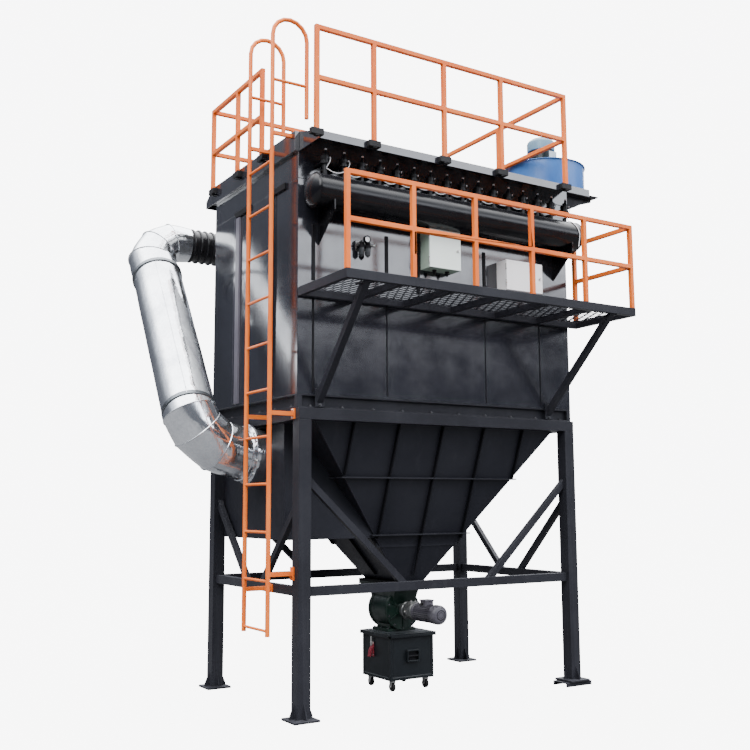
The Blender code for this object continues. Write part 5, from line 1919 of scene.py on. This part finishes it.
@dataclass
class DischargeValve:
    """Cast rotary valve with its gearbox and motor under the hopper's outlet."""

    z: float = 0.745
    radius: float = 0.185
    rim: float = 0.197
    half: float = 0.15
    seat: float = 0.9997
    foot: float = 0.5403
    foot_thick: float = 0.0247
    lug: float = 0.014
    cap: float = 0.018
    flange_thick: float = 0.03
    lid_rise: float = 0.088

    def casting(self) -> None:
        """Build the valve's casing, neck, flanges and covers."""
        r, rim, h = self.radius, self.rim, self.half
        at, way = (0, 0, self.z), BACK
        edge = [(rim, h), (rim - 0.003, h + 0.003), (rim - 0.003, h + 0.016),
                (rim - 0.006, h + self.cap)]
        profile = [(0.0, h + self.cap)] + edge[::-1] + [(rim, h - 0.006), (r, h - 0.014)]
        near = [(radius, -height) for radius, height in reversed(profile[1:])]
        profile += near + [(0.075, -h - self.cap), (0.06, -h - 0.026), (0.05, -h - 0.028),
                           (0.05, -h - 0.04), (0.0, -h - 0.04)]
        shape = Shape()
        shape.turned(profile, at, way, Finish.GREEN, 80)
        shape.taper((0.125, 0.135), self.z - 0.02, (0.14, 0.26), self.seat - 0.025, Finish.GREEN)
        shape.taper((0.125, 0.125), self.z + 0.02, (0.12, 0.12), self.foot + 0.02, Finish.GREEN)
        shape.block((-0.19, -0.35, self.seat - self.flange_thick), (0.19, 0.35, self.seat),
                    Finish.GREEN)
        shape.block((-0.16, -0.14, self.foot), (0.16, 0.14, self.foot + self.foot_thick),
                    Finish.GREEN)
        reach = Vector((0.055, 0.006, 0.006))
        for k in range(6):
            turn = Matrix.Rotation(-math.tau * (k + 0.5) / 6, 3, "Y")
            spot = turn @ Vector((0.118, 0, 0)) + Vector((0, -h - 0.022, self.z))
            shape.block(spot - reach, spot + reach, Finish.GREEN, turn)
        shape.piece("rotary_valve_casting", Finish.GREEN, 0.0012, 28.0, stands_for=["rotary_valve"])

    def bolts(self) -> None:
        """Set the cover's, flange's and foot's bolts."""
        cover = [(a, -self.half - self.cap, self.z + b) for a, b in circle_spots(10, 0.172)]
        flange = self.seat - self.flange_thick
        below = [(-0.155 + 0.062 * k, y, flange) for k in range(6) for y in (-0.325, 0.325)]
        below += [(x, -0.27 + 0.09 * k, flange) for x in (-0.172, 0.172) for k in range(7)]
        foot = self.foot + self.foot_thick
        above = [(x, y, foot) for x in (-0.145, 0.145) for y in (-0.12, 0.0, 0.12)]
        spots = cover + below + above
        ways = [FRONT] * len(cover) + [DOWN] * len(below) + [UP] * len(above)
        HexBolts(0.008, 0.007).build("rotary_valve_bolts", spots, ways, Finish.BOLT)

    def drive(self) -> None:
        """Build the gearbox and the motor, whose axis leads to the front."""
        at, way = (0, 0, self.z), BACK
        lid = self.z + self.lid_rise
        face = -self.half - 0.0403
        gear = [(0, face), (0.064, face), (0.066, face - 0.01), (0.083, face - 0.045),
                (0.085, face - 0.05), (0.085, face - 0.075), (0.078, face - 0.08),
                (0.078, face - 0.13), (0.085, face - 0.135), (0.085, -0.395), (0.082, -0.40),
                (0.075, -0.418), (0, -0.42)]
        shape = Shape()
        shape.turned(gear, at, way, Finish.CAST, 48)
        for a, b in circle_spots(4, 0.070):
            spot = Vector((a, 0, b)) + Vector(at)
            shape.drum(self.lug, face - 0.065, -0.40, spot, way, Finish.CAST, 20)
        shape.block((-0.05, -0.375, self.z + 0.04), (0.05, -0.30, lid), Finish.CAST)
        shape.piece("gearbox_casting", Finish.CAST, 0.002, 26.0, stands_for=["valve_gearbox"])
        plugs = [(-0.02, -0.34, lid), (0.025, -0.345, lid), (-0.085, -0.33, self.z)]
        HexBolts(0.009, 0.008).build("gearbox_plugs", plugs, [UP, UP, LEFT])
        face = -0.4203
        motor = [(0, face), (0.084, face), (0.085, face - 0.003), (0.085, face - 0.018),
                 (0.078, face - 0.022), (0.076, -0.70), (0.085, -0.706), (0.089, -0.71),
                 (0.089, -0.765), (0.086, -0.775), (0.076, -0.788), (0.058, -0.797),
                 (0.03, -0.80), (0, -0.80)]
        shape = Shape()
        shape.turned(motor, at, way, Finish.DRIVE, 56)
        for ring in (0.022, 0.040):
            profile = square_hoop(ring, ring + 0.007, -0.796, -0.8)
            shape.turned(profile, at, way, Finish.BLACK_AND_SHADE, 40, ring=True)
        shape.block((-0.045, -0.615, self.z + 0.06), (0.045, -0.525, self.z + 0.112), Finish.DRIVE)
        shape.block((-0.05, -0.62, self.z + 0.112), (0.05, -0.52, self.z + 0.125), Finish.DRIVE)
        gland = [(0, 0), (0.012, 0), (0.012, 0.018), (0.008, 0.022), (0.008, 0.03), (0, 0.03)]
        shape.turned(gland, (-0.045, -0.57, lid), LEFT, Finish.RUBBER, 16)
        shape.piece("valve_motor_case", Finish.DRIVE, 0.0018, 26.0, stands_for=["valve_motor"])
        Fins(30, 0.0095, 0.003).build("valve_motor_fins", (0, face - 0.022, self.z),
                                      (math.radians(90), 0, 0), 0.0755, 0.255, Finish.DRIVE)

    def build(self) -> None:
        """Build the valve and its drive."""
        self.casting()
        self.bolts()
        self.drive()


@dataclass
class DustBin:
    """Steel bin on castors with a pressed lid, a handle and a side latch."""

    at: Pair = (0.015, -0.045)
    half: float = 0.25
    low: float = 0.105
    rim: float = 0.52
    lip: float = 0.02
    wheel: float = 0.043
    handle: float = 0.07
    handle_z: Pair = (0.282, 0.368)
    fold: float = 0.012
    rivets: Pair = (0.042, 0.088)
    rivet_z: Pair = (0.315, 0.425)

    def box(self) -> None:
        """Build the box with its pressed fields, rolled rim and handle."""
        x, y = self.at
        h, lip = self.half, self.lip
        shape = Shape()
        shape.block((x - h, y - h, self.low), (x + h, y + h, self.rim - 0.004), Finish.BIN)
        sides = [f for f in shape.bm.faces if abs(f.calc_center_median().z - 0.31) < 0.02]
        bmesh.ops.inset_individual(shape.bm, faces=sides, thickness=0.035)
        bmesh.ops.inset_individual(shape.bm, faces=sides, thickness=0.008, depth=-0.006)
        reach = h + lip
        for sx, sy in ((1, 0), (-1, 0), (0, 1), (0, -1)):
            low = (x + (h if sx > 0 else -reach), y + (h if sy > 0 else -reach), self.rim - 0.02)
            high = (x - (h if sx < 0 else -reach), y - (h if sy < 0 else -reach), self.rim)
            shape.block(low, high, Finish.BIN)
        front, outer, inner = y - h, self.handle, self.handle - self.fold
        foot, top = self.handle_z
        for start, end, low, high in ((-outer, outer, foot - self.fold, foot),
                                      (-outer, outer, top, top + self.fold),
                                      (-outer, -inner, foot, top), (inner, outer, foot, top)):
            shape.block((x + start, front - 0.03, low), (x + end, front + 0.004, high), Finish.BIN)
        shape.block((x - inner, front - 0.002, foot), (x + inner, front + 0.003, top), Finish.BLACK_AND_SHADE)
        shape.bar((x - 0.06, front - 0.02, 0.322), (x + 0.06, front - 0.02, 0.322), 0.008,
                  Finish.BLACK_AND_SHADE)
        shape.piece("dust_bin_box", Finish.BIN, 0.003, 26.0, stands_for=["dust_bin"])

    def lid(self) -> None:
        """Build the lid with a raised field round the valve's foot."""
        x, y = self.at
        reach = self.half + self.lip
        z = self.rim + GAP
        shape = Shape()
        shape.block((x - reach, y - reach, z), (x + reach, y + reach, z + 0.014), Finish.BIN)
        reach -= 0.03
        shape.block((x - reach, y - reach, z + 0.013), (x + reach, y + reach, self.rim + 0.02),
                    Finish.BIN)
        shape.piece("bin_lid_sheet", Finish.BIN, 0.003, 26.0, stands_for=["bin_lid"])

    def castors(self) -> None:
        """Build the castors: top plate, fork and tyred wheel."""
        x, y = self.at
        shape = Shape()
        reach, r = self.half - 0.06, self.wheel
        tyre = [(0.0, -0.012), (r * 0.62, -0.012), (r * 0.68, -0.0145), (r - 0.004, -0.0145),
                (r, -0.010), (r, 0.010), (r - 0.004, 0.0145), (r * 0.68, 0.0145),
                (r * 0.62, 0.012), (0.0, 0.012)]
        for cx, cy in ((x + sx * reach, y + sy * reach) for sx in (-1, 1) for sy in (-1, 1)):
            shape.block((cx - 0.04, cy - 0.04, self.low - 0.005), (cx + 0.04, cy + 0.04, self.low),
                        Finish.BIN)
            shape.drum(0.03, 0, 0.014, (cx, cy, self.low - 0.019), UP, Finish.PLATED, 28)
            for a in (cx - 0.020, cx + 0.017):
                edge = [(a, cy - 0.026, self.low - 0.016), (a, cy + 0.026, self.low - 0.016),
                        (a, cy + 0.012, r - 0.012), (a, cy - 0.012, r - 0.012)]
                shape.plate(edge, (0.003, 0, 0), Finish.PLATED)
            shape.turned(tyre, (cx, cy, r + GAP), RIGHT, Finish.RUBBER, 40)
            shape.drum(0.006, -0.024, 0.024, (cx, cy, r + GAP), RIGHT, Finish.PLATED, 12)
        shape.piece("bin_castors", Finish.BIN, 0.001, 26.0)

    def build(self) -> None:
        """Build the bin and dress its latch, whose hook is bare metal."""
        self.box()
        self.lid()
        self.castors()
        dressed("bin_latch", Finish.GRIP, width=0.0015,
                others=((Finish.PLATED, lambda c: c.z > 0.412),))
        x, y = self.at
        face = x - self.half - 0.0083
        spots = [(face, y + along, z) for along in self.rivets for z in self.rivet_z]
        HexBolts(0.0045, 0.003, 0.001).build("latch_rivets", spots, [LEFT] * len(spots))


@dataclass
class Cabinet:
    """Wall cabinet: shell with a gasket, hinged door, lock and glands."""

    node: str
    body: str
    span: Pair
    rise: Pair
    finish: Finish
    # The shell's finish; on the control cabinet a darker green as painted shade.
    shade: Finish
    rear: float = -0.9203
    face: float = -1.0653
    door: float = 0.0177
    skin: float = 0.012
    gasket: float = 0.008
    barrels: tuple[Pair, ...] = ((-0.030, -0.011), (-0.0095, 0.0095), (0.011, 0.030))

    def shell(self) -> None:
        """Build the shell's sheets, the lugs on the wall and the cable glands."""
        (x0, x1), (z0, z1) = self.span, self.rise
        skin, inner, inside = self.skin, 0.03, self.rear - self.skin
        shape = Shape()
        # The shell takes the shade finish; on the control cabinet that is a darker green, painted
        # shade.
        shape.block((x0, inside, z0), (x1, self.rear, z1), self.shade)
        for left, right, foot, top in ((x0, x0 + skin, z0, z1), (x1 - skin, x1, z0, z1),
                                       (x0 + skin, x1 - skin, z0, z0 + skin),
                                       (x0 + skin, x1 - skin, z1 - skin, z1)):
            shape.block((left, self.face, foot), (right, inside, top), self.shade)
        shape.block((x0 + inner, inside - 0.006, z0 + inner), (x1 - inner, inside, z1 - inner),
                    Finish.ZINC)
        for z in (z0 + 0.09, z0 + 0.17, z0 + 0.24):
            shape.block((x0 + 0.05, inside - 0.05, z), (x1 - 0.05, inside - 0.006, z + 0.035),
                        Finish.RUBBER)
        wide = self.gasket
        for left, right, foot, top in (
                (x0 + skin, x1 - skin, z0 + skin, z0 + skin + wide),
                (x0 + skin, x1 - skin, z1 - skin - wide, z1 - skin),
                (x0 + skin, x0 + skin + wide, z0 + skin, z1 - skin),
                (x1 - skin - wide, x1 - skin, z0 + skin, z1 - skin)):
            shape.block((left, self.face, foot), (right, self.face + wide / 2, top), Finish.RUBBER)
        gland = [(0, 0), (0.020, 0), (0.020, 0.010), (0.016, 0.012), (0.016, 0.028),
                 (0.010, 0.034), (0.010, 0.046), (0, 0.046)]
        for share in (0.3, 0.72):
            at = (x0 + (x1 - x0) * share, (self.rear + self.face) / 2, z0)
            shape.turned(gland, at, DOWN, Finish.RUBBER, 20)
        shape.piece(self.node + "_shell", self.finish, 0.0012, 26.0, stands_for=[self.node])

    def leaf(self) -> None:
        """Build the door with its pressed field, hinges and lock."""
        (x0, x1), (z0, z1) = self.span, self.rise
        face = self.face - GAP
        half, mid = (z1 - z0) / 2, (z0 + z1) / 2
        shape = Shape()
        shape.block((x0 - 0.006, face - self.door, z0 + 0.002), (x1 - 0.002, face, z1 - 0.002),
                    self.finish)
        front = min(shape.bm.faces, key=lambda f: f.calc_center_median().y)
        bmesh.ops.inset_individual(shape.bm, faces=[front], thickness=0.016)
        bmesh.ops.inset_individual(shape.bm, faces=[front], thickness=0.003, depth=-0.0012)
        lock = (x1 - 0.04, face - self.door + 0.001, mid)
        shape.turned([(0, 0), (0.012, 0), (0.012, 0.010), (0.0105, 0.012), (0.0075, 0.012),
                      (0.0075, 0.009), (0, 0.009)], lock, FRONT, Finish.PLATED, 32)
        shape.block((lock[0] - 0.0015, lock[1] - 0.0115, mid - 0.006),
                    (lock[0] + 0.0015, lock[1] - 0.008, mid + 0.006), Finish.BLACK_AND_SHADE)
        for at in (0.07 - half, half - 0.07):
            pin = (x0 - 0.008, self.face - 0.012, mid + at)
            for low, high in self.barrels:
                shape.drum(0.0072, low, high, pin, UP, Finish.PLATED, 20)
        shape.piece(self.node + "_leaf", self.finish, 0.0014, 26.0, self.body,
                    [self.node + "_door"])

    def build(self) -> None:
        """Build the cabinet."""
        self.shell()
        self.leaf()


@dataclass
class Regulator:
    """Filter and regulator: two bowls on a bracket, with knobs, a gauge and a tap."""

    wall: float = -0.92
    bowls: Pair = (-0.950, -0.885)
    bowl_y: float = -0.975
    foot: float = 3.96
    pipe: float = 4.075
    neck: float = 4.09
    gauge: Triple = (-0.92, -1.005, 4.11)

    def build(self) -> None:
        """Build the cluster."""
        y, (left, right) = self.bowl_y, self.bowls
        bowl = [(0, 0), (0.010, 0.0), (0.012, 0.008), (0.022, 0.014), (0.026, 0.026),
                (0.026, 0.082), (0, 0.082)]
        head = [(0, 0.080), (0.031, 0.080), (0.031, 0.098), (0.026, 0.100), (0.026, 0.130),
                (0.022, 0.134), (0, 0.134)]
        knob = [(0, 0), (0.021, 0), (0.021, 0.030), (0.017, 0.036), (0, 0.036)]
        case = [(0, 0), (0.034, 0), (0.034, 0.026), (0.032, 0.030), (0.026, 0.030),
                (0.026, 0.024), (0, 0.024)]
        dial = [(0, 0.0245), (0.0255, 0.0245), (0, 0.0255)]
        tap = [(0, 0), (0.013, 0), (0.013, 0.024), (0.008, 0.03), (0, 0.03)]
        shape = Shape()
        shape.block((-0.98, self.wall - 0.006, 4.02), (-0.86, self.wall - GAP, 4.11), Finish.PLATED)
        shape.block((-0.98, y - 0.02, 4.054), (-0.855, self.wall - 0.006, 4.062), Finish.BLACK_AND_SHADE)
        for x in self.bowls:
            shape.turned(bowl, (x, y, self.foot), UP, Finish.GLASS, 32)
            shape.turned(head, (x, y, self.foot), UP, Finish.BLACK_AND_SHADE, 32)
        shape.bar((left - 0.04, y, self.pipe), (right + 0.055, y, self.pipe), 0.011,
                  Finish.CAST, 20)
        shape.turned(knob, (right, y, self.neck), UP, Finish.BLACK_AND_SHADE, 18)
        shape.drum(0.012, 0, 0.02, (left, y, self.neck), UP, Finish.PLATED, 6)
        shape.turned(case, self.gauge, FRONT, Finish.BLACK_AND_SHADE, 48)
        shape.turned(dial, self.gauge, FRONT, Finish.TUBE, 48)
        needle = Matrix.Rotation(math.radians(35), 3, "Y")
        shape.block((-0.928, -1.0325, 4.1088), (-0.906, -1.0307, 4.1112), Finish.GRIP, needle)
        shape.drum(0.008, 0, 0.03, (self.gauge[0], y, self.gauge[2]), FRONT, Finish.PLATED, 16)
        shape.turned(tap, (right + 0.05, y, self.pipe), RIGHT, Finish.PLATED, 16)
        shape.piece("regulator_set", Finish.CAST, 0.001, 28.0, stands_for=["filter_regulator"])


def main() -> None:
    """Build every sub-assembly in order."""
    logging.basicConfig(level=logging.INFO, format="%(name)s: %(message)s")
    control = Cabinet("control_cabinet", "control_door", (-0.27, 0.08), (3.93, 4.30),
                      Finish.CABINET, Finish.CABINET_SHADED_SIDE)
    junction = Cabinet("junction_box", "junction_door", (0.64, 1.09), (3.82, 4.12),
                       Finish.PANEL, Finish.PANEL)
    for assembly in (Studio(), Steelwork(), Hopper(), Casing(), Header(), Deck(), Railing(), Duct(),
                     RoofFan(), DischargeValve(), DustBin(), control, junction, Regulator()):
        assembly.build()


if __name__ == "__main__":
    main()
